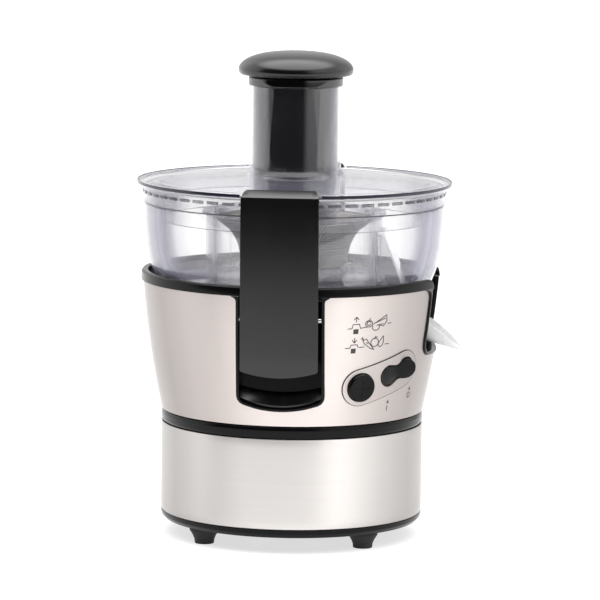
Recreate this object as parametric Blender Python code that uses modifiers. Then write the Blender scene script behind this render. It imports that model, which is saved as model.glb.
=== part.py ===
"""A centrifugal juicer, modelled piece by piece in metres with +Z up.

The floor is Z = 0. The front clamp faces -Y and the juice spout faces +X. The juicer's own axis
stands at X = AXIS_X, so that the origin is the middle of the whole object's footprint.
"""

import math

import bmesh
import bpy
from mathutils import Matrix, Vector

# Placing and fits
AXIS_X = -0.005
GAP = 0.0003
STEPS = 32
SMALL_STEPS = 12

# Heights of the main joints between the pieces
BASE_Z = 0.012
BAND_Z = 0.0185
WAIST_Z = 0.087
SHELL_Z = 0.097
DECK_Z = 0.187
RIM_Z = 0.1955
RIM_TOP_Z = 0.203
BOWL_Z = 0.191
COLLECTOR_Z = 0.1938
LID_SKIRT_Z = 0.2548
LID_Z = 0.2715
CHUTE_TOP_Z = 0.344
TOTAL_Z = 0.370

# Radii
BASE_R = 0.100
LID_R = 0.1203
CHUTE_R = 0.035
CHUTE_BORE_R = 0.0325
COLLECTOR_R = 0.0675
DUCT_HALF_WIDTH = 0.020
CAP_R = 0.0438
SKIN = 0.0008
WALL = 0.002

# Feet
FOOT_CIRCLE_R = 0.085
FOOT_ANGLES = (45, 135, 225, 315)

# Clamps: a strap on a cross pin, half in a pocket of the housing
CLAMP_WIDTH = 0.058
CLAMP_PIVOT_R = 0.106
CLAMP_PIVOT_Z = 0.178
CLAMP_PIN_R = 0.002
POCKET_HALF = 0.0308
POCKET_LIP = 0.0024
POCKET_BACK_R = 0.089
POCKET_FLOOR_Z = 0.111
POCKET_CEILING_Z = 0.1848

# Spout opening
SPOUT_HALF = 0.0386
SPOUT_BACK_X = 0.0682
SPOUT_FLOOR_Z = 0.1445

# Controls, as angles from the front clamp towards the spout
BUTTON_ANGLE = 33.8
BUTTON_Z = 0.1262
BUTTON_R = 0.0109
ROCKER_ANGLE = 52.0
ROCKER_Z = 0.1356
ROCKER_TILT = 15.6
ROCKER_LOBE_R = 0.0072
ROCKER_LOBE_OUT = 0.0092
ROCKER_THROW = 10.0

# Motor
SHAFT_R = 0.004
ARMATURE_R = 0.021
STATOR_R = 0.038
ARMATURE_Z = (0.110, 0.148)
BRACKET_Z = (0.080, 0.160)
BRUSH_Z = 0.0948


def clear_scene():
    for old in list(bpy.data.objects):
        bpy.data.objects.remove(old, do_unlink=True)


def make_collection(name):
    collection = bpy.data.collections.new(name)
    bpy.context.scene.collection.children.link(collection)
    return collection


clear_scene()
JUICER = make_collection("centrifugal_juicer")
CUTTERS = make_collection("cutters")
AXIS = bpy.data.objects.new("juicer_axis", None)
AXIS.location = (AXIS_X, 0, 0)
JUICER.objects.link(AXIS)


# Materials


def make_material(name, colour, roughness, metallic=0.0, alpha=1.0):
    material = bpy.data.materials.new(name)
    material.use_nodes = True
    shader = material.node_tree.nodes["Principled BSDF"]
    shader.inputs["Base Color"].default_value = (*colour, 1)
    shader.inputs["Roughness"].default_value = roughness
    shader.inputs["Metallic"].default_value = metallic
    shader.inputs["Alpha"].default_value = alpha
    return material


def stainless():
    return make_material("stainless", (0.68, 0.63, 0.59), 0.32, 1.0)


def bright_steel():
    return make_material("bright_steel", (0.72, 0.72, 0.72), 0.22, 1.0)


def gloss_black():
    return make_material("gloss_black", (0.012, 0.012, 0.013), 0.18)


def satin_black():
    return make_material("satin_black", (0.02, 0.02, 0.021), 0.42)


def clear_plastic():
    return make_material("clear_plastic", (0.86, 0.87, 0.90), 0.06, alpha=0.3)


def frosted_plastic():
    return make_material("frosted_plastic", (0.80, 0.80, 0.80), 0.3, alpha=0.7)


def black_rubber():
    return make_material("black_rubber", (0.015, 0.015, 0.015), 0.7)


def grey_rubber():
    return make_material("grey_rubber", (0.25, 0.25, 0.26), 0.6)


def laminated_iron():
    return make_material("laminated_iron", (0.20, 0.20, 0.22), 0.5, 0.8)


def enamelled_copper():
    return make_material("enamelled_copper", (0.60, 0.25, 0.08), 0.35, 0.9)


def carbon():
    return make_material("carbon", (0.03, 0.03, 0.03), 0.6)


def brass():
    return make_material("brass", (0.75, 0.55, 0.22), 0.3, 1.0)


# Building helpers


def around(angle, radius, z=0.0):
    """The point at this angle from the front clamp, turning towards the spout."""
    turn = math.radians(angle)
    return Vector((radius * math.sin(turn), -radius * math.cos(turn), z))


def shell_radius(z):
    """The outer radius of the flared upper shell at a height."""
    rise = z - SHELL_Z
    return BASE_R + 0.2207 * rise - 0.718 * rise * rise


def place(obj, material=None, matrix=None):
    """Puts an object among the juicer's parts, or among the cutters when it has no material."""
    if matrix is not None:
        obj.matrix_local = matrix
    obj.parent = AXIS
    if material is None:
        CUTTERS.objects.link(obj)
        obj.hide_render = True
        obj.display_type = "WIRE"
    else:
        JUICER.objects.link(obj)
        obj.data.materials.clear()
        obj.data.materials.append(material)
        obj.data.shade_smooth()
        obj.data.set_sharp_from_angle(angle=math.radians(35))
    return obj


def from_bmesh(name, bm, material=None, matrix=None):
    mesh = bpy.data.meshes.new(name)
    bm.to_mesh(mesh)
    bm.free()
    return place(bpy.data.objects.new(name, mesh), material, matrix)


def turned(name, profile, material=None, steps=STEPS, closed=True, matrix=None):
    """A profile of (radius, z), down its outer side, spun round Z.

    A closed one joins its last point to its first: a ring, or a dish that touches the axis.
    """
    bm = bmesh.new()
    points = [bm.verts.new((radius, 0, z)) for radius, z in profile]
    for start, end in zip(points, points[1:]):
        if start.co.x > 0 or end.co.x > 0:
            bm.edges.new((start, end))
    if closed:
        bm.edges.new((points[-1], points[0]))
    obj = from_bmesh(name, bm, material, matrix)
    screw = obj.modifiers.new("spin", "SCREW")
    screw.steps = steps
    screw.render_steps = steps
    screw.use_merge_vertices = True
    screw.merge_threshold = 0.00001
    weld = obj.modifiers.new("weld", "WELD")
    weld.merge_threshold = 0.00001
    return obj


def basin(name, outside, inside, material):
    """A turned dish: its outside from the rim down to the axis, its inside from the axis up."""
    return turned(name, outside + inside, material, STEPS)


def disc(name, radius, low, high, material=None, steps=STEPS, matrix=None):
    return turned(name, [(0, high), (radius, high), (radius, low), (0, low)], material, steps, False, matrix)


def ring(name, inner, outer, low, high, material=None, steps=STEPS, matrix=None):
    profile = [(outer, high), (outer, low), (inner, low), (inner, high)]
    return turned(name, profile, material, steps, True, matrix)


def cuboid(low, high):
    """The mesh of a plain box between two corners."""
    bm = bmesh.new()
    bmesh.ops.create_cube(bm, size=1)
    low = Vector(low)
    high = Vector(high)
    bmesh.ops.scale(bm, vec=high - low, verts=bm.verts)
    bmesh.ops.translate(bm, vec=(low + high) / 2, verts=bm.verts)
    return bm


def block(name, low, high, material=None, bevel=0.0, matrix=None):
    """A box between two corners, its edges rounded when a bevel is given."""
    bm = cuboid(low, high)
    if bevel:
        bmesh.ops.bevel(bm, geom=bm.edges[:], offset=bevel, segments=1, affect="EDGES", profile=0.5)
    return from_bmesh(name, bm, material, matrix)


def trough_block(name, low, high, corner, along, material=None):
    """A box whose two lower edges along one axis are rounded."""
    bm = cuboid(low, high)
    edges = []
    for edge in bm.edges:
        run = (edge.verts[1].co - edge.verts[0].co).normalized()
        low_down = max(v.co.z for v in edge.verts) < low[2] + 1e-6
        if low_down and abs(run[along]) > 0.9:
            edges.append(edge)
    bmesh.ops.bevel(bm, geom=edges, offset=corner, segments=3, affect="EDGES", profile=0.5)
    return from_bmesh(name, bm, material)


def rod(name, start, end, radius, material=None, steps=SMALL_STEPS, matrix=None):
    start = Vector(start)
    run = Vector(end) - start
    turn = run.to_track_quat("Z", "Y").to_matrix().to_4x4()
    at = Matrix.Translation(start) @ turn
    if matrix is not None:
        at = matrix @ at
    return disc(name, radius, 0, run.length, material, steps, at)


def plate(name, outline, thickness, material=None, matrix=None):
    """A flat outline in its own XY plane, given half its thickness each way, as a mesh."""
    curve = bpy.data.curves.new(name, "CURVE")
    curve.dimensions = "2D"
    curve.fill_mode = "BOTH"
    curve.extrude = thickness / 2
    spline = curve.splines.new("POLY")
    spline.points.add(len(outline) - 1)
    for point, (x, y) in zip(spline.points, outline):
        point.co = (x, y, 0, 1)
    spline.use_cyclic_u = True
    holder = bpy.data.objects.new(name + "_outline", curve)
    bpy.context.scene.collection.objects.link(holder)
    bpy.context.view_layer.update()
    mesh = bpy.data.meshes.new_from_object(holder.evaluated_get(bpy.context.evaluated_depsgraph_get()))
    bpy.data.objects.remove(holder)
    bm = bmesh.new()
    bm.from_mesh(mesh)
    bmesh.ops.remove_doubles(bm, verts=bm.verts, dist=0.00001)
    bmesh.ops.recalc_face_normals(bm, faces=bm.faces)
    return from_bmesh(name, bm, material, matrix)


def boolean(obj, other, operation):
    modifier = obj.modifiers.new(operation.lower(), "BOOLEAN")
    modifier.operation = operation
    modifier.object = other
    modifier.solver = "EXACT"
    return obj


def cut(obj, *others):
    for other in others:
        boolean(obj, other, "DIFFERENCE")
    return obj


def unite(obj, *others):
    for other in others:
        boolean(obj, other, "UNION")
    return obj


def surface_frame(angle, z, tilt=0.0, depth=0.0):
    """A frame on the upper shell: X towards the spout along the surface, Z straight out of it."""
    slope = math.atan(0.2207 - 2 * 0.718 * (z - SHELL_Z))
    turn = math.radians(angle)
    outward = Vector((math.sin(turn) * math.cos(slope), -math.cos(turn) * math.cos(slope), -math.sin(slope)))
    across = Vector((math.cos(turn), math.sin(turn), 0))
    upward = outward.cross(across)
    spot = around(angle, shell_radius(z), z) - outward * depth
    basis = Matrix((across, upward, outward)).transposed().to_4x4()
    return Matrix.Translation(spot) @ basis @ Matrix.Rotation(math.radians(tilt), 4, "Z")


def facing(angle):
    """Turns a piece built for the front (-Y) to another side."""
    return Matrix.Rotation(math.radians(angle), 4, "Z")


def stadium(half_length, radius, corner_steps=6):
    """The outline of a slot with round ends, along X."""
    points = []
    for side, start in ((1, -90), (-1, 90)):
        for step in range(corner_steps + 1):
            turn = math.radians(start + 180 * step / corner_steps)
            points.append((side * half_length + radius * math.cos(turn), radius * math.sin(turn)))
    return points


# Cutters shared by several pieces


def outer_envelope():
    """Everything inside the upper shell and the lips that stand 1.5 mm proud of it."""
    proud = 0.0015
    heights = [0.205, RIM_TOP_Z - 0.001, 0.180, 0.160, 0.140, 0.120, 0.100]
    profile = [(0, heights[0])]
    profile += [(min(shell_radius(z) + proud, 0.1163), z) for z in heights]
    profile.append((0, heights[-1]))
    return turned("outer_envelope", profile, closed=False)


def pocket_cutter(name, angle, clearance):
    """The outline of a clamp pocket's opening, with a clearance round it."""
    half = POCKET_HALF + POCKET_LIP + clearance
    low = (-half, -0.140, POCKET_FLOOR_Z - POCKET_LIP - 0.0004 - clearance)
    high = (half, -POCKET_BACK_R + WALL + clearance, 0.230)
    cutter = trough_block(name, low, high, 0.010, 1)
    cutter.matrix_local = facing(angle)
    return cutter


def spout_cutter(name, clearance):
    half = SPOUT_HALF + POCKET_LIP + clearance
    low = (SPOUT_BACK_X - WALL - clearance, -half, SPOUT_FLOOR_Z - POCKET_LIP - clearance)
    return trough_block(name, low, (0.140, half, 0.230), 0.012, 0)


def above_deck(radius):
    """The round space of the bowl's holder, above the deck's underside."""
    return disc("above_deck_%d" % round(radius * 1e4), radius, DECK_Z - GAP, 0.240)


def duct_floor_cutter(name, clearance):
    """The opening through the floors that the juice duct goes down through."""
    low = (0.0668 - clearance, -DUCT_HALF_WIDTH - clearance, 0.150)
    high = (0.0885 + clearance, DUCT_HALF_WIDTH + clearance, 0.1936)
    return block(name, low, high)


def button_cutter():
    return disc("button_hole", BUTTON_R + 0.0006, -0.020, 0.020, matrix=surface_frame(BUTTON_ANGLE, BUTTON_Z))


def rocker_cutter():
    frame = surface_frame(ROCKER_ANGLE, ROCKER_Z, ROCKER_TILT)
    outline = stadium(ROCKER_LOBE_OUT, ROCKER_LOBE_R + 0.0013)
    return plate("rocker_hole", outline, 0.040, matrix=frame)


# Base and lower body


def make_base_plate(black):
    floor = 0.003
    profile = [
        (0.0972, BAND_Z + 0.006),
        (0.0972, BAND_Z),
        (BASE_R, BAND_Z),
        (BASE_R - 0.0005, BAND_Z - 0.003),
        (0.0970, BASE_Z),
        (0, BASE_Z),
    ]
    inside = [(0, BASE_Z + floor), (0.0945, BASE_Z + floor), (0.0945, BAND_Z + 0.006)]
    plate_obj = basin("base_plate", profile, inside, black)
    for number, angle in enumerate(FOOT_ANGLES):
        spot = around(angle, FOOT_CIRCLE_R)
        hole = disc("foot_hole_%d" % number, 0.0043, 0.005, 0.020, steps=16)
        hole.location = spot
        cut(plate_obj, hole)
    for number in range(8):
        slot = block("vent_slot_%d" % number, (0.040, -0.003, 0.005), (0.066, 0.003, 0.020))
        slot.matrix_local = facing(22.5 + 45 * number)
        cut(plate_obj, slot)
    return plate_obj


def make_feet(rubber):
    """Rubber feet: a pad, a cone and a stem that plugs into the base plate."""
    profile = [
        (0, 0.0172),
        (0.0050, 0.0172),
        (0.0050, 0.0154),
        (0.0038, 0.0154),
        (0.0038, BASE_Z - GAP),
        (0.0115, BASE_Z - GAP),
        (0.0112, 0.0098),
        (0.0075, 0.0032),
        (0.0072, 0.0),
        (0, 0.0),
    ]
    for number, angle in enumerate(FOOT_ANGLES):
        foot = turned("foot_%d" % (number + 1), profile, rubber, SMALL_STEPS, False)
        foot.location = around(angle, FOOT_CIRCLE_R)


def gland_hole_cutter():
    """The hole at the back that the cord gland sits in."""
    return rod("gland_hole", (0, 0.080, 0.034), (0, 0.110, 0.034), 0.0068)


def make_lower_band(steel, gland_hole):
    band = ring("lower_band", BASE_R - SKIN, BASE_R, BAND_Z + GAP, WAIST_Z - GAP, steel)
    return cut(band, gland_hole)


def make_lower_housing(black, gland_hole):
    """The plastic drum inside the steel band, with a shelf at the top for the screws."""
    outer = BASE_R - SKIN - GAP
    profile = [
        (outer, WAIST_Z - GAP),
        (outer, BAND_Z + 0.0005),
        (0.0976, BAND_Z + 0.0005),
        (0.0976, WAIST_Z - 0.0035),
        (0.0860, WAIST_Z - 0.0035),
        (0.0860, WAIST_Z - GAP),
    ]
    return cut(turned("lower_housing", profile, black), gland_hole)


def make_cord_gland(rubber):
    """The grommet that the mains lead enters by, low at the back."""
    profile = [
        (0.0090, 0.0120),
        (0.0090, 0.0102),
        (0.0062, 0.0102),
        (0.0062, 0.0060),
        (0.0085, 0.0060),
        (0.0085, 0.0040),
        (0.0036, 0.0040),
        (0.0036, 0.0120),
    ]
    out = Matrix.Translation((0, 0.0900, 0.034)) @ Matrix.Rotation(math.radians(-90), 4, "X")
    return turned("cord_gland", profile, rubber, SMALL_STEPS, True, out)


def make_waist_ring(black):
    profile = [
        (0.0986, SHELL_Z - GAP),
        (0.0998, SHELL_Z - 0.0015),
        (0.1001, WAIST_Z + 0.005),
        (0.0996, WAIST_Z + 0.0012),
        (0.0984, WAIST_Z),
        (0.0860, WAIST_Z),
        (0.0860, SHELL_Z - GAP),
    ]
    return turned("waist_ring", profile, black)


# Upper body


def make_upper_shell(steel):
    heights = [0.199, 0.172, 0.145, 0.120, SHELL_Z]
    profile = [(shell_radius(z), z) for z in heights]
    profile += [(shell_radius(z) - SKIN, z) for z in reversed(heights)]
    return turned("upper_shell", profile, steel)


def make_upper_housing(black):
    """The plastic body behind the steel: flared wall, bowl holder and deck in one moulding."""
    heights = [0.1960, 0.165, 0.130, SHELL_Z]
    skin_gap = SKIN + 0.0005
    profile = [(shell_radius(z) - skin_gap, z) for z in heights]
    profile += [(shell_radius(z) - skin_gap - WALL, z) for z in reversed(heights[1:])]
    profile += [
        (0.1106, 0.1935),
        (0.1072, DECK_Z),
        (0.0170, DECK_Z),
        (0.0170, DECK_Z + 0.003),
        (0.1030, DECK_Z + 0.003),
        (0.1066, 0.1950),
        (0.1090, RIM_TOP_Z - 0.001),
        (0.1107, RIM_TOP_Z - 0.001),
        (0.1107, 0.1966),
    ]
    return turned("upper_housing", profile, black)


def make_motor_posts():
    """Four posts under the deck that the motor hangs from."""
    posts = []
    for number, angle in enumerate((45, 135, 225, 315)):
        post = disc("motor_post_%d" % number, 0.0055, 0.1725, DECK_Z + 0.001, steps=12)
        post.location = around(angle, 0.040)
        posts.append(post)
    return posts


def make_rim_trim(black):
    profile = [
        (0.1150, RIM_TOP_Z),
        (0.1163, RIM_TOP_Z - 0.0012),
        (0.1165, RIM_Z),
        (0.1154, RIM_Z),
        (0.1154, 0.1996),
        (0.1136, 0.1996),
        (0.1136, 0.1985),
        (0.1111, 0.1985),
        (0.1111, RIM_TOP_Z - 0.0006),
        (0.1115, RIM_TOP_Z),
    ]
    return turned("rim_trim", profile, black)


def make_pocket(name, angle, black, envelope):
    """One clamp's pocket: a deep liner with a lip round its opening in the steel."""
    half = POCKET_HALF + POCKET_LIP
    low = (-half, -0.130, POCKET_FLOOR_Z - POCKET_LIP - 0.0004)
    high = (half, -POCKET_BACK_R + WALL, RIM_Z - GAP)
    liner = trough_block(name, low, high, 0.010, 1, black)
    liner.matrix_local = facing(angle)
    lower_low = (-POCKET_HALF, -0.140, POCKET_FLOOR_Z)
    lower_high = (POCKET_HALF, -POCKET_BACK_R, POCKET_CEILING_Z)
    lower = trough_block(name + "_hollow", lower_low, lower_high, 0.008, 1)
    upper_low = (-POCKET_HALF, -0.140, POCKET_CEILING_Z + 0.0018)
    upper = block(name + "_neck", upper_low, (POCKET_HALF, -0.060, 0.240))
    front_low = (-POCKET_HALF, -0.140, POCKET_CEILING_Z - 0.001)
    front = block(name + "_mouth", front_low, (POCKET_HALF, -0.1085, 0.200))
    for cutter in (lower, upper, front):
        cutter.matrix_local = facing(angle)
    boolean(liner, envelope, "INTERSECT")
    cut(liner, lower, upper, front, above_deck(0.1113))
    return liner


def make_spout_surround(black, envelope):
    """The opening that the spout comes out of: a dark recess with a lip like the pockets'."""
    half = SPOUT_HALF + POCKET_LIP
    low = (SPOUT_BACK_X - WALL, -half, SPOUT_FLOOR_Z - POCKET_LIP)
    liner = trough_block("spout_surround", low, (0.130, half, RIM_Z - GAP), 0.012, 0, black)
    hollow_low = (SPOUT_BACK_X, -SPOUT_HALF, SPOUT_FLOOR_Z)
    hollow = trough_block("spout_hollow", hollow_low, (0.140, SPOUT_HALF, 0.240), 0.010, 0)
    boolean(liner, envelope, "INTERSECT")
    cut(liner, hollow, above_deck(0.1114))
    return liner


# Clamps


def clamp_strap_outline():
    """The strap's side view as (outwards, up) from its pivot: hook, front face, back face."""
    outer = [
        (0.1115, 0.2752),
        (0.1219, 0.2717),
        (0.1242, 0.2692),
        (0.1236, 0.2400),
        (0.1218, 0.2050),
        (0.1196, 0.1700),
        (0.1172, 0.1345),
    ]
    inner = [
        (0.1144, 0.1345),
        (0.1166, 0.1700),
        (0.1187, 0.2050),
        (0.1204, 0.2400),
        (0.1209, 0.2701),
        (0.1115, 0.2715),
    ]
    return [(r - CLAMP_PIVOT_R, z - CLAMP_PIVOT_Z) for r, z in outer + inner]


def clamp_lug_outline():
    """A lug round the pin, reaching out into the strap."""
    reach = 0.0118
    points = [(reach, -0.0050), (reach, 0.0050)]
    for step in range(7):
        turn = math.radians(90 + 180 * step / 6)
        points.append((0.0050 * math.cos(turn), 0.0050 * math.sin(turn)))
    return points


def clamp_side_plane(x):
    """Takes (outwards, up) to the front clamp's place: outwards is -Y, up is +Z."""
    columns = Matrix(((0, 0, -1, x), (-1, 0, 0, 0), (0, 1, 0, 0), (0, 0, 0, 1)))
    return columns


def make_clamp(name, angle, black):
    pivot = facing(angle) @ Matrix.Translation((0, -CLAMP_PIVOT_R, CLAMP_PIVOT_Z))
    strap = plate(name, clamp_strap_outline(), CLAMP_WIDTH, black)
    turn_to_side(strap, 0)
    strap.matrix_local = pivot
    for side in (-1, 1):
        lug = plate("%s_lug_%d" % (name, side), clamp_lug_outline(), 0.006)
        turn_to_side(lug, side * 0.023)
        lug.matrix_local = pivot
        unite(strap, lug)
    bore = rod(name + "_bore", (-0.030, 0, 0), (0.030, 0, 0), CLAMP_PIN_R + 0.0003, matrix=pivot)
    return cut(strap, bore)


def turn_to_side(obj, x):
    """Stands a flat outline up in the YZ plane, centred on a place along X."""
    obj.data.transform(clamp_side_plane(x))


def make_clamp_pin(name, angle, steel):
    pivot = facing(angle) @ Matrix.Translation((0, -CLAMP_PIVOT_R, CLAMP_PIVOT_Z))
    return rod(name, (-0.0328, 0, 0), (0.0328, 0, 0), CLAMP_PIN_R, steel, 12, pivot)


def pin_hole(name, angle):
    pivot = facing(angle) @ Matrix.Translation((0, -CLAMP_PIVOT_R, CLAMP_PIVOT_Z))
    return rod(name, (-0.040, 0, 0), (0.040, 0, 0), CLAMP_PIN_R + 0.0003, None, 12, pivot)


def make_clamp_switches(black):
    """The interlock switches that each clamp's lower end sets off, behind the pockets."""
    for name, angle in (("front_clamp_switch", 0), ("rear_clamp_switch", 180)):
        switch = block(name, (-0.010, -0.0866, 0.150), (0.010, -0.0800, 0.1605), black)
        switch.matrix_local = facing(angle)


# Controls


def make_control_panel(steel, button_hole, rocker_hole):
    """A slanted plate with round ends that lies on the shell round the two controls."""
    left = surface_frame(BUTTON_ANGLE, BUTTON_Z)
    right = surface_frame(ROCKER_ANGLE + 3.5, ROCKER_Z + 0.0015)
    middle_angle = (BUTTON_ANGLE + ROCKER_ANGLE + 3.5) / 2
    middle = surface_frame(middle_angle, (BUTTON_Z + ROCKER_Z + 0.0015) / 2)
    ends = [middle.inverted() @ end.translation for end in (left, right)]
    run = ends[1] - ends[0]
    tilt = math.degrees(math.atan2(run.y, run.x))
    slot = plate("panel_outline", stadium(run.length / 2 + 0.0005, 0.0146), 0.030)
    centre = Matrix.Translation((ends[0] + ends[1]) / 2)
    slot.matrix_local = middle @ centre @ Matrix.Rotation(math.radians(tilt), 4, "Z")
    heights = [0.160, 0.145, 0.125, 0.110, 0.100]
    profile = [(shell_radius(z) + 0.0012, z) for z in heights]
    profile += [(shell_radius(z) + GAP, z) for z in reversed(heights)]
    panel = turned("control_panel", profile, steel)
    boolean(panel, slot, "INTERSECT")
    return cut(panel, button_hole, rocker_hole)


def make_speed_button(black):
    frame = surface_frame(BUTTON_ANGLE, BUTTON_Z)
    profile = [
        (0, 0.0034),
        (0.0098, 0.0034),
        (BUTTON_R, 0.0024),
        (BUTTON_R, -0.0050),
        (0.0030, -0.0050),
        (0.0030, -0.0080),
        (0, -0.0080),
    ]
    return turned("speed_button", profile, black, SMALL_STEPS, False, frame)


def make_speed_switch(black):
    frame = surface_frame(BUTTON_ANGLE, BUTTON_Z)
    return block("speed_switch", (-0.0095, -0.0075, -0.0260), (0.0095, 0.0075, -0.0124), black, 0.0, frame)


def make_power_rocker(black):
    """The rocker, resting with its left lobe pressed. Its origin is its hinge."""
    hinge = surface_frame(ROCKER_ANGLE, ROCKER_Z, ROCKER_TILT, 0.005)
    outline = stadium(ROCKER_LOBE_OUT, ROCKER_LOBE_R, 7)
    rocker = plate("power_rocker", outline, 0.0078, black)
    rocker.data.transform(Matrix.Translation((0, 0, 0.0028)))
    rocker.matrix_local = hinge @ Matrix.Rotation(math.radians(-ROCKER_THROW), 4, "Y")
    return rocker


def make_power_switch(black):
    hinge = surface_frame(ROCKER_ANGLE, ROCKER_Z, ROCKER_TILT, 0.005)
    return block("power_switch", (-0.0110, -0.0062, -0.0170), (0.0110, 0.0062, -0.0064), black, 0.0, hinge)


def make_terminal_block(plastic):
    return block("terminal_block", (-0.016, 0.062, 0.0300), (0.016, 0.076, 0.0440), plastic, 0.001)


# Motor


def make_motor_shaft(steel):
    return disc("motor_shaft", SHAFT_R, 0.052, 0.196, steel, 16)


def make_armature(iron):
    return ring("armature_core", 0.0064, ARMATURE_R, *ARMATURE_Z, iron, SMALL_STEPS)


def make_armature_winding(copper):
    """The winding's bulges at both ends of the core, joined through its bore by the sleeve."""
    low, high = ARMATURE_Z
    reach = 0.0078
    profile = [
        (0.0155, high + reach),
        (0.0185, high + reach / 2),
        (0.0155, high + GAP),
        (0.0060, high + GAP),
        (0.0060, low - GAP),
        (0.0155, low - GAP),
        (0.0185, low - reach / 2),
        (0.0155, low - reach),
        (SHAFT_R + GAP, low - reach),
        (SHAFT_R + GAP, high + reach),
    ]
    return turned("armature_winding", profile, copper, SMALL_STEPS)


def make_commutator(brass_metal):
    return ring("commutator", SHAFT_R + GAP, 0.0105, 0.0895, 0.1012, brass_metal, SMALL_STEPS)


def make_stator(iron):
    """The laminated stack round the armature, flat at the sides."""
    stator = disc("motor_stator", STATOR_R, *ARMATURE_Z, iron, 32)
    bore = disc("stator_bore", ARMATURE_R + 0.0008, 0.100, 0.160, steps=SMALL_STEPS)
    cut(stator, bore)
    for side in (-1, 1):
        window = block(
            "coil_window_%d" % side,
            (-0.014, side * 0.0255 - 0.0045, 0.100),
            (0.014, side * 0.0255 + 0.0045, 0.160),
        )
        cut(stator, window)
    return stator


def make_field_coils(copper):
    """Two coils threaded through the stator's windows, shown as the lengths in them and above."""
    for name, side in (("front_field_coil", -1), ("rear_field_coil", 1)):
        low = (-0.0125, side * 0.0255 - 0.0038, 0.1025)
        high = (0.0125, side * 0.0255 + 0.0038, 0.1555)
        block(name, low, high, copper, 0.0015)


def make_bracket(name, low, alloy, bearing_r):
    """A cast cross bar that holds a bearing at one end of the motor."""
    bar = block(name, (-0.036, -0.036, low), (0.036, 0.036, low + 0.005), alloy, 0.0015)
    boss = disc(name + "_boss", bearing_r + 0.003, low - 0.001, low + 0.009, steps=SMALL_STEPS)
    bore = disc(name + "_bore", bearing_r + GAP, low - 0.010, low + 0.020, steps=SMALL_STEPS)
    unite(bar, boss)
    cut(bar, bore)
    for number in range(4):
        window = block("%s_window_%d" % (name, number), (0.0145, -0.012, low - 0.01), (0.031, 0.012, low + 0.02))
        window.matrix_local = facing(90 * number)
        cut(bar, window)
    return bar


def make_bearing(name, low, steel):
    return ring(name, SHAFT_R + GAP, 0.0095, low, low + 0.007, steel, SMALL_STEPS)


def make_motor_bolts(steel):
    """Two long bolts that hold the brackets to the stator."""
    for name, angle in (("left_motor_bolt", 225), ("right_motor_bolt", 45)):
        bolt = disc(name, 0.002, BRACKET_Z[0] + 0.0053, BRACKET_Z[1] - GAP, steel, 12)
        bolt.location = around(angle, 0.0425)


def make_motor_damper(rubber):
    """The rubber ring between the upper bracket and the deck's posts, against vibration."""
    return ring("motor_damper", 0.0360, 0.0450, BRACKET_Z[1] + 0.0093, 0.1722, rubber, 32)


def make_brushes(material):
    half = 0.0031
    for name, side in (("left_carbon_brush", -1), ("right_carbon_brush", 1)):
        near, far = sorted((side * 0.0108, side * 0.0300))
        block(name, (near, -half, BRUSH_Z - half), (far, half, BRUSH_Z + half), material)


def make_brush_holders(brass_metal):
    """Square tubes on the lower bracket that guide the carbon brushes."""
    for name, side in (("left_brush_holder", -1), ("right_brush_holder", 1)):
        near, far = sorted((side * 0.0150, side * 0.0330))
        holder = block(name, (near, -0.0048, BRUSH_Z - 0.0048), (far, 0.0048, BRUSH_Z + 0.0048), brass_metal)
        low = (near - 0.01, -0.0034, BRUSH_Z - 0.0034)
        cut(holder, block(name + "_hole", low, (far + 0.01, 0.0034, BRUSH_Z + 0.0034)))


def make_fan(plastic):
    """The cooling fan below the motor: a hub and disc with straight radial blades."""
    fan = disc("cooling_fan", 0.033, 0.0600, 0.0620, plastic, 32)
    hub = disc("fan_hub", 0.0085, 0.0580, 0.0710, steps=SMALL_STEPS)
    unite(fan, hub)
    for number in range(9):
        blade = block("fan_blade_%d" % number, (0.0070, -0.0008, 0.0610), (0.0320, 0.0008, 0.0700))
        blade.matrix_local = facing(40 * number)
        unite(fan, blade)
    bore = disc("fan_bore", SHAFT_R + GAP, 0.050, 0.080, steps=16)
    return cut(fan, bore)


def make_shaft_seal(rubber):
    profile = [
        (0.0167, DECK_Z + 0.0030),
        (0.0167, DECK_Z - 0.0010),
        (SHAFT_R + 0.0004, DECK_Z - 0.0010),
        (SHAFT_R + 0.0004, DECK_Z + 0.0012),
        (0.0110, DECK_Z + 0.0012),
        (0.0110, DECK_Z + 0.0030),
    ]
    return turned("shaft_seal", profile, rubber, SMALL_STEPS)


def make_drive_coupling(black):
    """The toothed dog on top of the shaft that carries the basket."""
    coupling = disc("drive_coupling", 0.0070, 0.1892, 0.1990, black, SMALL_STEPS)
    flange = disc("coupling_flange", 0.0140, 0.1935, 0.1985, steps=SMALL_STEPS)
    unite(coupling, flange)
    for number in range(3):
        dog = block("coupling_dog_%d" % number, (0.0060, -0.0020, 0.1940), (0.0125, 0.0020, 0.2015))
        dog.matrix_local = facing(120 * number)
        unite(coupling, dog)
    bore = disc("coupling_bore", SHAFT_R + GAP, 0.185, 0.1963, steps=16)
    return cut(coupling, bore)


# Bowl, collector, basket


def make_pulp_bowl(clear):
    profile = [
        (0.1134, 0.2660),
        (0.1134, 0.2546),
        (0.1143, 0.2536),
        (0.1140, 0.2450),
        (0.1128, 0.2250),
        (0.1100, 0.2100),
        (0.1056, 0.1957),
        (0.1015, BOWL_Z),
        (0.0175, BOWL_Z),
        (0.0175, 0.2008),
        (0.0192, 0.2008),
        (0.0192, 0.1935),
        (0.1003, 0.1935),
        (0.1034, 0.1975),
        (0.1078, 0.2110),
        (0.1106, 0.2260),
        (0.1118, 0.2450),
        (0.1118, 0.2660),
    ]
    bowl = turned("pulp_bowl", profile, clear)
    return cut(bowl, duct_floor_cutter("bowl_floor_hole", 0.0004))


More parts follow.
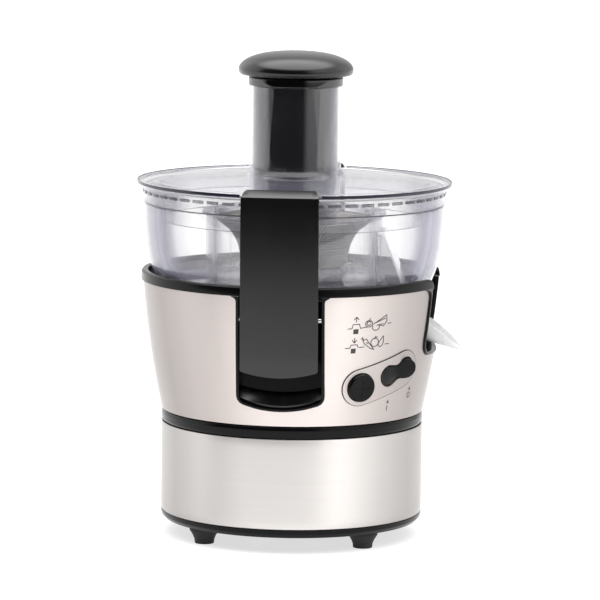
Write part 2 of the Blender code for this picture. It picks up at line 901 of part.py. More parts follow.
def make_juice_collector(clear):
    """The round trough under the basket that catches the juice."""
    floor = 0.0020
    profile = [
        (COLLECTOR_R, 0.2440),
        (COLLECTOR_R, COLLECTOR_Z),
        (0.0212, COLLECTOR_Z),
        (0.0212, 0.1990),
        (0.0230, 0.1990),
        (0.0230, COLLECTOR_Z + floor),
        (COLLECTOR_R - 0.0022, COLLECTOR_Z + floor),
        (COLLECTOR_R - 0.0018, 0.2440),
    ]
    collector = turned("juice_collector", profile, clear)
    window = block("collector_window", (0.050, -0.0175, COLLECTOR_Z + floor), (0.080, 0.0175, 0.2310))
    return cut(collector, window)


def make_juice_duct(clear):
    """The hooded chute from the collector down to the spout, open at both ends."""
    stations = [
        ((0.0600, 0.1947), (0.0600, 0.2360), DUCT_HALF_WIDTH),
        ((0.0680, 0.1945), (0.0700, 0.2345), DUCT_HALF_WIDTH),
        ((0.0700, 0.1880), (0.0780, 0.2140), DUCT_HALF_WIDTH),
        ((0.0745, 0.1780), (0.0860, 0.1935), DUCT_HALF_WIDTH),
        ((0.0820, 0.1660), (0.0955, 0.1760), 0.0170),
        ((0.0920, 0.1575), (0.1020, 0.1675), 0.0140),
    ]
    bm = bmesh.new()
    loops = []
    for (low_x, low_z), (high_x, high_z), half in stations:
        corners = [(low_x, -half, low_z), (low_x, half, low_z), (high_x, half, high_z), (high_x, -half, high_z)]
        loops.append([bm.verts.new(corner) for corner in corners])
    for first, second in zip(loops, loops[1:]):
        for number in range(4):
            after = (number + 1) % 4
            bm.faces.new((first[number], second[number], second[after], first[after]))
    bmesh.ops.recalc_face_normals(bm, faces=bm.faces)
    duct = from_bmesh("juice_duct", bm, clear)
    wall = duct.modifiers.new("wall", "SOLIDIFY")
    wall.thickness = 0.0016
    wall.offset = -1
    return cut(duct, disc("collector_round", COLLECTOR_R + GAP, 0.180, 0.250))


def make_juice_spout(frosted):
    """The beak that pours the juice: an open trough that narrows to its tip."""
    stations = [
        (0.0950, 0.1542, 0.1690, 0.0197),
        (0.1040, 0.1508, 0.1657, 0.0190),
        (0.1120, 0.1483, 0.1607, 0.0172),
        (0.1200, 0.1462, 0.1541, 0.0143),
        (0.1265, 0.1446, 0.1478, 0.0105),
        (0.1305, 0.1437, 0.1447, 0.0070),
    ]
    around_steps = 10
    bm = bmesh.new()
    rows = []
    for x, bottom, top, half in stations:
        row = []
        for step in range(around_steps + 1):
            turn = math.pi * step / around_steps
            side = -half * math.cos(turn) * (1 - 0.06 * math.sin(turn))
            drop = math.sin(turn) ** 0.75
            row.append(bm.verts.new((x, side, top + (bottom - top) * drop)))
        rows.append(row)
    for first, second in zip(rows, rows[1:]):
        for number in range(around_steps):
            bm.faces.new((first[number], first[number + 1], second[number + 1], second[number]))
    bmesh.ops.recalc_face_normals(bm, faces=bm.faces)
    if sum(face.normal.z for face in bm.faces) > 0:
        bmesh.ops.reverse_faces(bm, faces=bm.faces)
    spout = from_bmesh("juice_spout", bm, frosted)
    wall = spout.modifiers.new("wall", "SOLIDIFY")
    wall.thickness = 0.0012
    wall.offset = -1
    return spout


def make_filter_basket(steel):
    """The flared sieve, spun from thin sheet, open at the top."""
    outer = [(0.0610, 0.2430), (0.0490, 0.2335), (0.0436, 0.2250), (0.0410, 0.2156), (0.0400, 0.2082)]
    sheet = 0.0006
    profile = outer + [(0.0360, 0.2082), (0.0360, 0.2088)]
    profile += [(radius - sheet, z + 0.0002) for radius, z in reversed(outer[:-1])]
    return turned("filter_basket", profile, steel)


def make_basket_rim(clear):
    """The ring that stiffens the sieve's mouth and throws the pulp over the collector's wall."""
    profile = [
        (0.0700, 0.2482),
        (0.0705, 0.2458),
        (0.0625, 0.2450),
        (0.0615, 0.2434),
        (0.0604, 0.2436),
        (0.0612, 0.2470),
    ]
    return turned("basket_rim", profile, clear)


def make_basket_hub(clear):
    """The moulded base of the basket, which sits over the coupling."""
    profile = [
        (0.0408, 0.2079),
        (0.0450, 0.2020),
        (0.0432, 0.2020),
        (0.0396, 0.2062),
        (0.0165, 0.2062),
        (0.0165, 0.2030),
        (0.0148, 0.2030),
        (0.0148, 0.2079),
    ]
    return turned("basket_hub", profile, clear)


def make_grater_disc(steel):
    """The toothed plate at the basket's floor, with its centre boss."""
    profile = [
        (0, 0.2150),
        (0.0045, 0.2145),
        (0.0060, 0.2110),
        (0.0065, 0.2098),
        (0.0357, 0.2094),
        (0.0357, 0.2082),
        (0, 0.2082),
    ]
    return turned("grater_disc", profile, steel, STEPS, False)


# Lid and pusher


def make_lid(clear):
    profile = [
        (CHUTE_R, CHUTE_TOP_Z),
        (CHUTE_R, 0.2800),
        (0.0380, 0.2768),
        (0.0700, 0.2752),
        (0.1010, 0.2722),
        (0.1050, LID_Z),
        (LID_R, LID_Z),
        (LID_R, LID_Z - 0.0030),
        (0.1154, LID_Z - 0.0035),
        (0.1154, LID_SKIRT_Z),
        (0.1138, LID_SKIRT_Z),
        (0.1138, LID_Z - 0.0031),
        (0.1032, LID_Z - 0.0026),
        (0.1028, 0.2415),
        (0.1013, 0.2415),
        (0.1010, LID_Z - 0.0016),
        (0.0700, 0.2730),
        (0.0378, 0.2745),
        (0.0347, 0.2715),
        (0.0343, 0.2240),
        (CHUTE_BORE_R, 0.2240),
        (CHUTE_BORE_R, CHUTE_TOP_Z),
    ]
    lid = turned("lid", profile, clear)
    for angle in (0, 180):
        notch = block("lid_notch_%d" % angle, (-0.0305, -0.140, LID_Z - 0.0018), (0.0305, -0.1095, 0.290))
        notch.matrix_local = facing(angle)
        cut(lid, notch)
    return lid


def make_lid_gasket(rubber):
    return ring("lid_gasket", 0.1112, 0.1135, 0.2663, LID_Z - 0.0035, rubber)


def make_pusher_body(black):
    """The hollow pusher, open at the top, with the collar that stops it on the chute."""
    outer = 0.0316
    profile = [
        (0.0345, 0.3516),
        (0.0362, 0.3500),
        (0.0362, CHUTE_TOP_Z + GAP),
        (outer, CHUTE_TOP_Z + GAP),
        (outer - 0.0004, 0.2275),
        (outer - 0.0016, 0.2265),
        (0, 0.2265),
    ]
    inside = [(0, 0.2290), (outer - 0.0028, 0.2290), (outer - 0.0024, 0.3516)]
    return basin("pusher_body", profile, inside, black)


def make_pusher_cap(black):
    """The mushroom cap, hollow below, that closes the pusher's top."""
    rise = TOTAL_Z - 0.3560
    outer = []
    for step in range(5):
        turn = math.radians(90 * step / 4)
        outer.append((CAP_R * math.sin(turn) ** 0.8, 0.3560 + rise * math.cos(turn)))
    profile = outer + [(CAP_R - 0.0015, 0.3522), (0.0400, 0.3519), (0.0270, 0.3519), (0.0270, 0.3480)]
    profile += [(0.0250, 0.3480), (0.0250, 0.3600), (0, 0.3625)]
    return turned("pusher_cap", profile, black, STEPS, False)


# Assembly


def build_body(steel, gloss, satin, rubber):
    make_base_plate(gloss)
    make_feet(rubber)
    gland_hole = gland_hole_cutter()
    make_lower_band(steel, gland_hole)
    make_lower_housing(satin, gland_hole)
    make_cord_gland(rubber)
    make_waist_ring(gloss)

    envelope = outer_envelope()
    openings = [
        pocket_cutter("front_opening", 0, GAP),
        pocket_cutter("rear_opening", 180, GAP),
        spout_cutter("spout_opening", GAP),
    ]
    button_hole = button_cutter()
    rocker_hole = rocker_cutter()
    cut(make_upper_shell(steel), *openings, button_hole, rocker_hole)
    # Above the deck the openings stop at the bowl's holder, so the housing keeps its round wall.
    housing_openings = [
        pocket_cutter("front_housing_opening", 0, 0.0004),
        pocket_cutter("rear_housing_opening", 180, 0.0004),
        spout_cutter("spout_housing_opening", 0.0004),
    ]
    for opening in housing_openings:
        cut(opening, above_deck(0.1110))
    housing = make_upper_housing(satin)
    deck_notch = block("deck_duct_notch", (0.0660, -0.0212, 0.180), (0.0905, 0.0212, 0.195))
    cut(housing, *housing_openings, button_hole, rocker_hole, deck_notch)
    unite(housing, *make_motor_posts())
    # The trim ends at the mouths of the openings, and only its inner lip runs on past them.
    mouths = [
        pocket_cutter("front_mouth", 0, -POCKET_LIP),
        pocket_cutter("rear_mouth", 180, -POCKET_LIP),
        spout_cutter("spout_mouth", -POCKET_LIP),
    ]
    for mouth in mouths:
        cut(mouth, above_deck(0.1133))
    cut(make_rim_trim(gloss), *mouths)

    front_hole = pin_hole("front_pin_hole", 0)
    rear_hole = pin_hole("rear_pin_hole", 180)
    cut(make_pocket("front_pocket", 0, gloss, envelope), front_hole)
    cut(make_pocket("rear_pocket", 180, gloss, envelope), rear_hole)
    make_spout_surround(gloss, envelope)
    make_control_panel(steel, button_hole, rocker_hole)


def build_controls(gloss, satin, bright):
    make_clamp("front_clamp", 0, satin)
    make_clamp("rear_clamp", 180, satin)
    make_clamp_pin("front_clamp_pin", 0, bright)
    make_clamp_pin("rear_clamp_pin", 180, bright)
    make_clamp_switches(satin)
    make_speed_button(gloss)
    make_speed_switch(satin)
    make_power_rocker(gloss)
    make_power_switch(satin)
    make_terminal_block(frosted_plastic())


def build_motor(bright, satin, rubber):
    iron = laminated_iron()
    copper = enamelled_copper()
    brass_metal = brass()
    black_carbon = carbon()
    alloy = make_material("cast_alloy", (0.55, 0.56, 0.58), 0.45, 0.9)
    make_motor_shaft(bright)
    make_armature(iron)
    make_armature_winding(copper)
    make_commutator(brass_metal)
    make_stator(iron)
    make_field_coils(copper)
    make_bracket("lower_bracket", BRACKET_Z[0], alloy, 0.0095)
    make_bracket("upper_bracket", BRACKET_Z[1], alloy, 0.0095)
    make_bearing("lower_bearing", BRACKET_Z[0] + 0.0005, bright)
    make_bearing("upper_bearing", BRACKET_Z[1] + 0.0005, bright)
    make_motor_bolts(bright)
    make_motor_damper(rubber)
    make_brushes(black_carbon)
    make_brush_holders(brass_metal)
    make_fan(satin)
    make_shaft_seal(rubber)
    make_drive_coupling(satin)


def build_top(bright, gloss):
    clear = clear_plastic()
    make_pulp_bowl(clear)
    make_juice_collector(clear)
    make_juice_duct(clear)
    make_juice_spout(frosted_plastic())
    make_filter_basket(bright)
    make_basket_rim(clear)
    make_basket_hub(clear)
    make_grater_disc(bright)
    make_lid(clear)
    make_lid_gasket(grey_rubber())
    make_pusher_body(gloss)
    make_pusher_cap(gloss)


def main():
    steel = stainless()
    bright = bright_steel()
    gloss = gloss_black()
    satin = satin_black()
    rubber = black_rubber()
    build_body(steel, gloss, satin, rubber)
    build_controls(gloss, satin, bright)
    build_motor(bright, satin, rubber)
    build_top(bright, gloss)
    bpy.context.view_layer.update()


main()
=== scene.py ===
import math

import bmesh
import bpy
from mathutils import Matrix, Vector


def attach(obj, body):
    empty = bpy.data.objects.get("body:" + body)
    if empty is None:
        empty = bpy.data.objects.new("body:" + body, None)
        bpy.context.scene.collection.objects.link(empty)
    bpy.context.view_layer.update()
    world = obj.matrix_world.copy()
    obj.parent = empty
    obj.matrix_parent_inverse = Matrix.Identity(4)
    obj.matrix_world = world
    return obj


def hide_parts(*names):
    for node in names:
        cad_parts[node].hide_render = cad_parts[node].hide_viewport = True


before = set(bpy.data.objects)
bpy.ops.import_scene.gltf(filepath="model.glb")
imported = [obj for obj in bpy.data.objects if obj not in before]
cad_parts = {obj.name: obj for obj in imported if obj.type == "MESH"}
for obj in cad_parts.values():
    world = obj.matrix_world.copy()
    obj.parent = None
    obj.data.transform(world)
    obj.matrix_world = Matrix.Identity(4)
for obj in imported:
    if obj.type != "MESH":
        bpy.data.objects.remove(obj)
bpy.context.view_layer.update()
print("stage: frame loaded")

# the juicer's own axis stands a little left of the origin, because the spout sticks out to the right
axisX = -0.005
axisMove = Matrix.Translation((axisX, 0, 0))


# camera, floor and light

cameraSettings = {
    "distance": 3.300,
    "sideways": 0.0051,
    "height": 0.6075,
    "turn": 5.0,  # degrees round the juicer from its front clamp towards the spout
    "pitch": 7.394,
    "roll": 0.711,
    "lens": 260.97,
    "sensor": 36.0,
}

studioSettings = {
    "floorReach": 20.0,
    "floorFront": -0.95,  # the white sweep ends this far in front of the juicer
    "floorColour": 0.36,
    "floorGlow": 0.68,
    "sideGain": 1.35,
    "overheadGain": 3.4,
    "shade": 0.015,
    "keyLight": 1.0,
    "keySize": 0.9,
    "keySpot": (1.5, -0.9, 1.3),
    "backdrop": 1.05,
    # brightness of the walls by bearing from the front, in degrees towards the right
    "walls": {
        -180: 0.6, -165: 0.6, -150: 1.0, -84: 1.0, -74: 0.0, 20: 0.0, 34: 0.7, 80: 0.85, 124: 1.0, 140: 0.6,
        180: 0.6},
}


def turnedBy(degrees, axis="Z"):
    return Matrix.Rotation(math.radians(degrees), 4, axis)


def standing(angle):
    # stands an outline drawn in XY upright on that side of the juicer
    return turnedBy(angle) @ turnedBy(90, "X")


def makeCamera(s):
    data = bpy.data.cameras.new("camera")
    data.lens = s["lens"]
    data.sensor_width = s["sensor"]
    data.clip_end = 200
    camera = bpy.data.objects.new("camera", data)
    bpy.context.scene.collection.objects.link(camera)
    turn = turnedBy(s["turn"])
    place = axisMove @ turn @ Matrix.Translation((s["sideways"], -s["distance"], s["height"]))
    camera.matrix_world = place @ turnedBy(90 - s["pitch"], "X") @ turnedBy(s["roll"])
    bpy.context.scene.camera = camera


makeCamera(cameraSettings)
bpy.context.scene.view_settings.view_transform = "Standard"
for limit in ("max_bounces", "transmission_bounces", "transparent_max_bounces"):
    setattr(bpy.context.scene.cycles, limit, 36)  # many clear walls stand one behind another


# node trees as expressions: a Wire is one socket, and sums and products of wires add Math nodes

class Wire:
    def __init__(self, graph, socket):
        self.graph = graph
        self.socket = socket

    def other(self, name):
        return Wire(self.graph, self.socket.node.outputs[name])

    def __add__(self, other):
        return self.graph.math("ADD", self, other)

    def __radd__(self, other):
        return self.graph.math("ADD", other, self)

    def __sub__(self, other):
        return self.graph.math("SUBTRACT", self, other)

    def __rsub__(self, other):
        return self.graph.math("SUBTRACT", other, self)

    def __mul__(self, other):
        return self.graph.math("MULTIPLY", self, other)

    def __rmul__(self, other):
        return self.graph.math("MULTIPLY", other, self)

    def __truediv__(self, other):
        return self.graph.math("DIVIDE", self, other)

    def __rtruediv__(self, other):
        return self.graph.math("DIVIDE", other, self)

    def __gt__(self, other):
        return self.graph.math("GREATER_THAN", self, other)

    def __lt__(self, other):
        return self.graph.math("LESS_THAN", self, other)


class Graph:
    def __init__(self, tree):
        self.tree = tree

    def node(self, kind, settings=None, sockets=None, out=0):
        made = self.tree.nodes.new(kind)
        for key, value in (settings or {}).items():
            setattr(made, key, value)
        for key, value in (sockets or {}).items():
            if isinstance(value, Wire):
                self.tree.links.new(value.socket, made.inputs[key])
            else:
                made.inputs[key].default_value = value
        return Wire(self, made.outputs[out]) if made.outputs else made

    def ramp(self, stops, along):
        # greys at places from 0 to 1
        made = self.node("ShaderNodeValToRGB", None, {0: along})
        elements = made.socket.node.color_ramp.elements
        while len(elements) < len(stops):
            elements.new(0.5)
        for element, (spot, value) in zip(elements, stops.items()):
            element.position = spot
            element.color = grey(value)
        return made

    def math(self, operation, *values):
        return self.node("ShaderNodeMath", {"operation": operation}, dict(enumerate(values)))

    def mix(self, factor, first, second, blend="MIX"):
        settings = {"data_type": "RGBA", "blend_type": blend}
        return self.node("ShaderNodeMix", settings, {0: factor, 6: first, 7: second}, 2)


def grey(value):
    return (value, value, value, 1)


def makeFloor(s):
    reach, front = s["floorReach"], s["floorFront"]
    mesh = bpy.data.meshes.new("floor")
    corners = [(-reach, front, 0), (reach, front, 0), (reach, reach, 0), (-reach, reach, 0)]
    mesh.from_pydata(corners, [], [(0, 1, 2, 3)])
    floor = bpy.data.objects.new("floor", mesh)
    bpy.context.scene.collection.objects.link(floor)
    material = bpy.data.materials.new("paleFloor")
    material.use_nodes = True
    shader = material.node_tree.nodes["Principled BSDF"]
    shader.inputs["Base Color"].default_value = grey(s["floorColour"])
    shader.inputs["Roughness"].default_value = 0.9
    shader.inputs["Emission Color"].default_value = grey(1)
    shader.inputs["Emission Strength"].default_value = s["floorGlow"]
    mesh.materials.append(material)


def makeStudio(s):
    # a dome with a dark front, tall soft boxes at both sides, a white wall behind and a soft box overhead
    world = bpy.data.worlds.new("studio")
    bpy.context.scene.world = world
    world.use_nodes = True
    world.node_tree.nodes.clear()
    g = Graph(world.node_tree)
    towards = g.node("ShaderNodeTexCoord", out="Generated")
    x = g.node("ShaderNodeSeparateXYZ", None, {0: towards})
    y, z = x.other("Y"), x.other("Z")
    turn = math.radians(cameraSettings["turn"])
    front = x * math.sin(turn) - y * math.cos(turn)
    side = x * math.cos(turn) + y * math.sin(turn)
    bearing = g.math("ARCTAN2", side, front) / (2 * math.pi) + 0.5
    belt = g.ramp({(degrees + 180) / 360: value for degrees, value in s["walls"].items()}, bearing)
    rise = g.ramp({0.0: 0.3, 0.46: 0.34, 0.52: 1.0, 0.78: 1.0, 0.86: 0.2, 1.0: 0.2}, z * 0.5 + 0.5)
    overhead = g.node("ShaderNodeMapRange", {"interpolation_type": "SMOOTHSTEP"}, {0: z, 1: 0.62, 2: 0.86})
    dome = belt * rise * s["sideGain"] + overhead * s["overheadGain"] + s["shade"]
    seen = g.node("ShaderNodeLightPath", out="Is Camera Ray")
    glow = g.math("MAXIMUM", dome, seen * s["backdrop"])
    back = g.node("ShaderNodeBackground", None, {0: grey(1), 1: glow})
    g.node("ShaderNodeOutputWorld", None, {0: back})

    data = bpy.data.lights.new("keyLight", "AREA")
    data.energy = s["keyLight"]
    data.size = s["keySize"]
    lamp = bpy.data.objects.new("keyLight", data)
    bpy.context.scene.collection.objects.link(lamp)
    spot = Vector(s["keySpot"])
    lamp.matrix_world = Matrix.Translation(spot) @ (-spot).to_track_quat("-Z", "Y").to_matrix().to_4x4()


makeFloor(studioSettings)
makeStudio(studioSettings)
print("stage: camera, floor and light")


# finishes

class Finish(Graph):
    def __init__(self, name):
        self.material = bpy.data.materials.new(name)
        self.material.use_nodes = True
        super().__init__(self.material.node_tree)
        self.tree.nodes.clear()
        self.place = self.node("ShaderNodeTexCoord", out="Object")

    def noise(self, scale, detail=2.0, rough=0.5):
        # scale is the number of features per metre along each axis
        sockets = {"Vector": self.place, "Location": (-axisX * scale[0], 0, 0), "Scale": scale}
        sockets = {"Vector": self.node("ShaderNodeMapping", None, sockets), "Scale": 1.0}
        return self.node("ShaderNodeTexNoise", None, {**sockets, "Detail": detail, "Roughness": rough})

    def facing(self):
        # 0 where the surface looks at the viewer, 1 where it is seen edge on
        return self.node("ShaderNodeLayerWeight", None, {"Blend": 0.5}, "Facing")

    def bump(self, height, strength, distance):
        sockets = {"Height": height, "Strength": strength, "Distance": distance}
        return self.node("ShaderNodeBump", None, sockets)

    def done(self, sockets):
        shader = self.node("ShaderNodeBsdfPrincipled", None, sockets)
        self.node("ShaderNodeOutputMaterial", None, {0: shader})
        return self.material


def tone(colour, gain):
    return tuple(min(1.0, part * gain) for part in colour) + (1,)


def brushedSteel(name, colour, streak, rough, contrast, stretch=0.0, rim=None):
    # streak is the grain's scale on each axis; rim is the painted shade that darkens a curved sheet's colour
    # where it turns away from the viewer
    f = Finish(name)
    fine = f.noise(streak, 3.0, 0.65)
    broad = f.noise(tuple(part * 0.12 for part in streak), 2.0)
    cloud = f.noise((9, 9, 14), 2.0)
    shade = fine * 0.6 + broad * 0.4
    base = f.mix(shade, tone(colour, 1 - contrast), tone(colour, 1 + contrast))
    base = f.mix(cloud * 0.35, base, tone(colour, 0.97))
    if rim:
        # painted shade: the base colour darkens by facing towards the outline
        paintedEdgeShade = f.ramp({
            0.0: 1.0, 0.08: 0.97, 0.18: rim + 0.32, 0.28: rim + 0.18, 0.40: rim + 0.08, 0.55: rim,
            0.80: rim + 0.02, 1.0: rim + 0.2}, f.facing())
        base = f.mix(1.0, base, paintedEdgeShade, "MULTIPLY")
    roughness = shade * 0.16 + (rough - 0.08) + cloud * 0.04
    return f.done({
        "Base Color": base, "Metallic": 1.0, "Roughness": roughness, "Anisotropic": stretch,
        "Anisotropic Rotation": 0.25, "Normal": f.bump(fine * 0.7 + broad * 0.3, 0.22, 0.00006)})


def mouldedPlastic(name, colour, rough, grain, grainSize, shine=0.5):
    # grain is the height of the moulded texture and grainSize its scale
    f = Finish(name)
    fine = f.noise((grainSize, grainSize, grainSize), 2.0, 0.6)
    broad = f.noise((22, 22, 16), 3.0)
    base = f.mix(fine * 0.3 + broad * 0.3, tone(colour, 0.8), tone(colour, 1.35))
    roughness = broad * 0.08 + fine * 0.05 + (rough - 0.06)
    return f.done({
        "Base Color": base, "Roughness": roughness, "Specular IOR Level": shine,
        "Normal": f.bump(fine, grain, 0.00008)})


def clearPlastic(name, colour, body, gloss=0.045, sheen=0.35, shadeBands=()):
    # see-through in the middle and tinted towards its outline, partly by the longer path through the wall and
    # partly as painted shade in place of refraction, with a painted double line of a moulded wall; body is
    # how strong the tint is, and a band is (low z, high z, inner radius, cover) of painted near-black shade
    # on a thick edge
    f = Finish(name)
    flow = f.noise((26, 26, 9), 2.0)
    fine = f.noise((300, 300, 300), 2.0)
    edge = f.facing()
    # the cover rises with facing: partly the tint's longer path through the wall, partly painted shade
    # standing in for refraction
    cover = f.ramp({
        0.0: 0.014, 0.28: 0.020, 0.42: 0.045, 0.52: 0.12, 0.59: 0.25, 0.66: 0.12, 0.80: 0.13, 0.90: 0.28,
        1.0: 0.85}, edge)
    cover = cover * body * (flow * 0.5 + 0.75)
    plain = 1.0
    base = f.mix(flow, tone(colour, 0.85), tone(colour, 1.2))
    x = f.node("ShaderNodeSeparateXYZ", None, {0: f.place})
    y, height = x.other("Y"), x.other("Z")
    radius = f.math("SQRT", (x - axisX) * (x - axisX) + y * y)
    # each band tints the clear plastic near black and hides its shine: painted shade where a thick clear edge
    # is seen
    for low, high, outside, dark in shadeBands:
        inside = (height > low) * (height < high) * (radius > outside)
        base = f.mix(inside, base, (0.02, 0.02, 0.035, 1))
        cover = f.math("MAXIMUM", cover, inside * dark)
        plain = plain - inside * dark
    bend = f.bump(flow, 0.04, 0.0004)
    wall = f.node("ShaderNodeBsdfPrincipled", None, {
        "Base Color": base, "Roughness": fine * 0.03 + 0.04, "Alpha": cover, "Normal": bend})
    shine = f.node("ShaderNodeBsdfPrincipled", None, {
        "Base Color": grey(0.96), "Metallic": 1.0, "Roughness": fine * 0.02 + 0.02, "Normal": bend})
    fresnel = (f.math("POWER", edge, 5.0) * sheen + gloss) * plain
    mixed = f.node("ShaderNodeMixShader", None, {0: fresnel, 1: wall, 2: shine})
    f.node("ShaderNodeOutputMaterial", None, {0: mixed})
    return f.material


def makeFinishes():
    finishes = {}
    # colour, grain, roughness, contrast, stretch of the highlight and painted shade towards the rim
    steels = {
        "brushedStainless": ((0.930, 0.850, 0.815), (26, 26, 2600), 0.38, 0.07, 0.75, 0.40),
        "bandSteel": ((0.900, 0.862, 0.835), (26, 26, 2600), 0.38, 0.07, 0.75, 0.46),
        "panelSteel": ((0.80, 0.73, 0.70), (30, 30, 1800), 0.40, 0.05, 0.6, 0.42),
        "brightSteel": ((0.78, 0.77, 0.76), (60, 60, 900), 0.24, 0.05),
        "sieveSteel": ((0.24, 0.225, 0.21), (500, 500, 500), 0.34, 0.08),
    }
    # colour, roughness, grain, scale of the grain and shine
    plastics = {
        "glossBlack": ((0.004, 0.004, 0.0045), 0.16, 0.03, 260, 0.16),
        "polishedBlack": ((0.003, 0.003, 0.0035), 0.07, 0.02, 200, 1.0),
        "satinBlack": ((0.004, 0.004, 0.0045), 0.23, 0.10, 1500, 0.65),
        "deckBlack": ((0.008, 0.008, 0.010), 0.50, 0.12, 900, 0.15),
        "blackRubber": ((0.008, 0.008, 0.008), 0.70, 0.35, 1200),
        "greySilicone": ((0.50, 0.50, 0.52), 0.55, 0.15, 900),
        "brownPlastic": ((0.30, 0.26, 0.22), 0.45, 0.1, 700),
        "pressedCarbon": ((0.03, 0.03, 0.03), 0.6, 0.3, 2500),
        "printedInk": ((0.05, 0.045, 0.045), 0.5, 0.1, 2500),
    }
    # colour, body, gloss, sheen at the rim, and bands of painted near-black shade
    lavender = (0.34, 0.335, 0.42)
    # painted shade on the flange's outer lip and the lower edges of the two skirts, where the clear edges
    # look dark
    lidShadeBands = (
        (0.2676, 0.2717, 0.1186, 1.0), (0.2540, 0.2553, 0.1130, 0.85), (0.2410, 0.2419, 0.1000, 0.6))
    clears = {
        "clearPlastic": (lavender, 4.2),
        "lidPlastic": (lavender, 1.6, 0.045, 0.8, lidShadeBands),
        "collectorPlastic": ((0.50, 0.50, 0.56), 2.2),
        "whitePlastic": ((0.80, 0.80, 0.83), 12.0, 0.03),
        # the lid's clear grip ribs, tinted near black as painted shade
        "ribPlastic": ((0.02, 0.02, 0.035), 22.0, 0.03),
    }
    for maker, looks in ((brushedSteel, steels), (mouldedPlastic, plastics), (clearPlastic, clears)):
        for name, values in looks.items():
            finishes[name] = maker(name, *values)

    f = Finish("milkyPlastic")
    cloud = f.noise((60, 60, 60), 3.0)
    finishes["milkyPlastic"] = f.done({
        "Base Color": f.mix(cloud, (0.90, 0.91, 0.90, 1), (0.97, 0.98, 0.97, 1)),
        "Roughness": cloud * 0.1 + 0.22, "Transmission Weight": 0.15, "IOR": 1.45,
        "Normal": f.bump(f.noise((700, 700, 700)), 0.06, 0.0001)})

    f = Finish("castAlloy")
    pits = f.noise((900, 900, 900), 4.0, 0.7)
    finishes["castAlloy"] = f.done({
        "Base Color": f.mix(pits, (0.42, 0.43, 0.45, 1), (0.62, 0.63, 0.65, 1)), "Metallic": 0.9,
        "Roughness": pits * 0.25 + 0.35, "Normal": f.bump(pits, 0.5, 0.0002)})

    f = Finish("laminatedIron")
    sheets = f.node("ShaderNodeTexWave", {"bands_direction": "Z"}, {
        "Vector": f.place, "Scale": 320.0, "Distortion": 0.4, "Detail": 1.0}, 1)
    finishes["laminatedIron"] = f.done({
        "Base Color": f.mix(sheets, (0.10, 0.10, 0.11, 1), (0.30, 0.30, 0.32, 1)), "Metallic": 0.8,
        "Roughness": sheets * 0.2 + 0.4, "Normal": f.bump(sheets, 0.6, 0.0002)})

    f = Finish("enamelledCopper")
    wires = f.node("ShaderNodeTexWave", {"bands_direction": "Z"}, {
        "Vector": f.place, "Scale": 420.0, "Distortion": 2.5, "Detail": 2.0, "Detail Scale": 0.6}, 1)
    finishes["enamelledCopper"] = f.done({
        "Base Color": f.mix(wires, (0.22, 0.07, 0.02, 1), (0.62, 0.27, 0.09, 1)), "Metallic": 0.85,
        "Roughness": wires * 0.2 + 0.26, "Coat Weight": 0.5, "Normal": f.bump(wires, 0.8, 0.0003)})

    f = Finish("turnedBrass")
    marks = f.noise((40, 40, 2600), 3.0)
    finishes["turnedBrass"] = f.done({
        "Base Color": f.mix(marks, (0.55, 0.38, 0.14, 1), (0.80, 0.60, 0.26, 1)), "Metallic": 1.0,
        "Roughness": marks * 0.2 + 0.22, "Normal": f.bump(marks, 0.2, 0.00008)})
    return finishes


finish = makeFinishes()
print("stage: finishes")


# making meshes

def shellRadius(z):
    rise = z - shellSettings["low"]
    return shellSettings["radius"] + shellSettings["flare"] * rise - shellSettings["droop"] * rise * rise


def around(angle, radius, z=0.0):
    turn = math.radians(angle)
    return Vector((radius * math.sin(turn), -radius * math.cos(turn), z))


def rounded(corners, steps=4, loop=True):
    # corners with a third number are rounded by about that radius
    points = []
    count = len(corners)
    for number, corner in enumerate(corners):
        here = Vector(corner[:2])
        end = not loop and number in (0, count - 1)
        if len(corner) < 3 or end:
            points.append(tuple(here))
            continue
        before = Vector(corners[number - 1][:2]) - here
        after = Vector(corners[(number + 1) % count][:2]) - here
        half = before.angle(after) / 2
        reach = min(corner[2] / math.tan(half), before.length * 0.48, after.length * 0.48)
        start = here + before.normalized() * reach
        stop = here + after.normalized() * reach
        for step in range(steps + 1):
            t = step / steps
            points.append(tuple(start * (1 - t) ** 2 + here * 2 * t * (1 - t) + stop * t * t))
    return points


def toObject(name, bm, matrix=None, merge=1e-7):
    # closes seams, points the faces outwards and moves the mesh to its place beside the juicer's axis
    bmesh.ops.remove_doubles(bm, verts=bm.verts, dist=merge)
    bmesh.ops.recalc_face_normals(bm, faces=bm.faces)
    if bm.calc_volume(signed=True) < 0:
        bmesh.ops.reverse_faces(bm, faces=bm.faces)
    bm.transform(axisMove @ (matrix or Matrix.Identity(4)))
    mesh = bpy.data.meshes.new(name)
    bm.to_mesh(mesh)
    bm.free()
    obj = bpy.data.objects.new(name, mesh)
    bpy.context.scene.collection.objects.link(obj)
    smooth(obj)
    return obj


def smooth(obj, angle=32):
    obj.data.shade_smooth()
    obj.data.set_sharp_from_angle(angle=math.radians(angle))


def bridge(bm, loops, closed=False, wrap=True):
    # faces between neighbouring rows of points; a row of one point is a pole
    pairs = list(zip(loops, loops[1:]))
    if closed:
        pairs.append((loops[-1], loops[0]))
    for first, second in pairs:
        count = max(len(first), len(second))
        for number in range(count if wrap else count - 1):
            after = (number + 1) % count
            corners = [first[number % len(first)], first[after % len(first)],
                       second[after % len(second)], second[number % len(second)]]
            corners = list(dict.fromkeys(corners))
            if len(corners) > 2:
                bm.faces.new(corners)


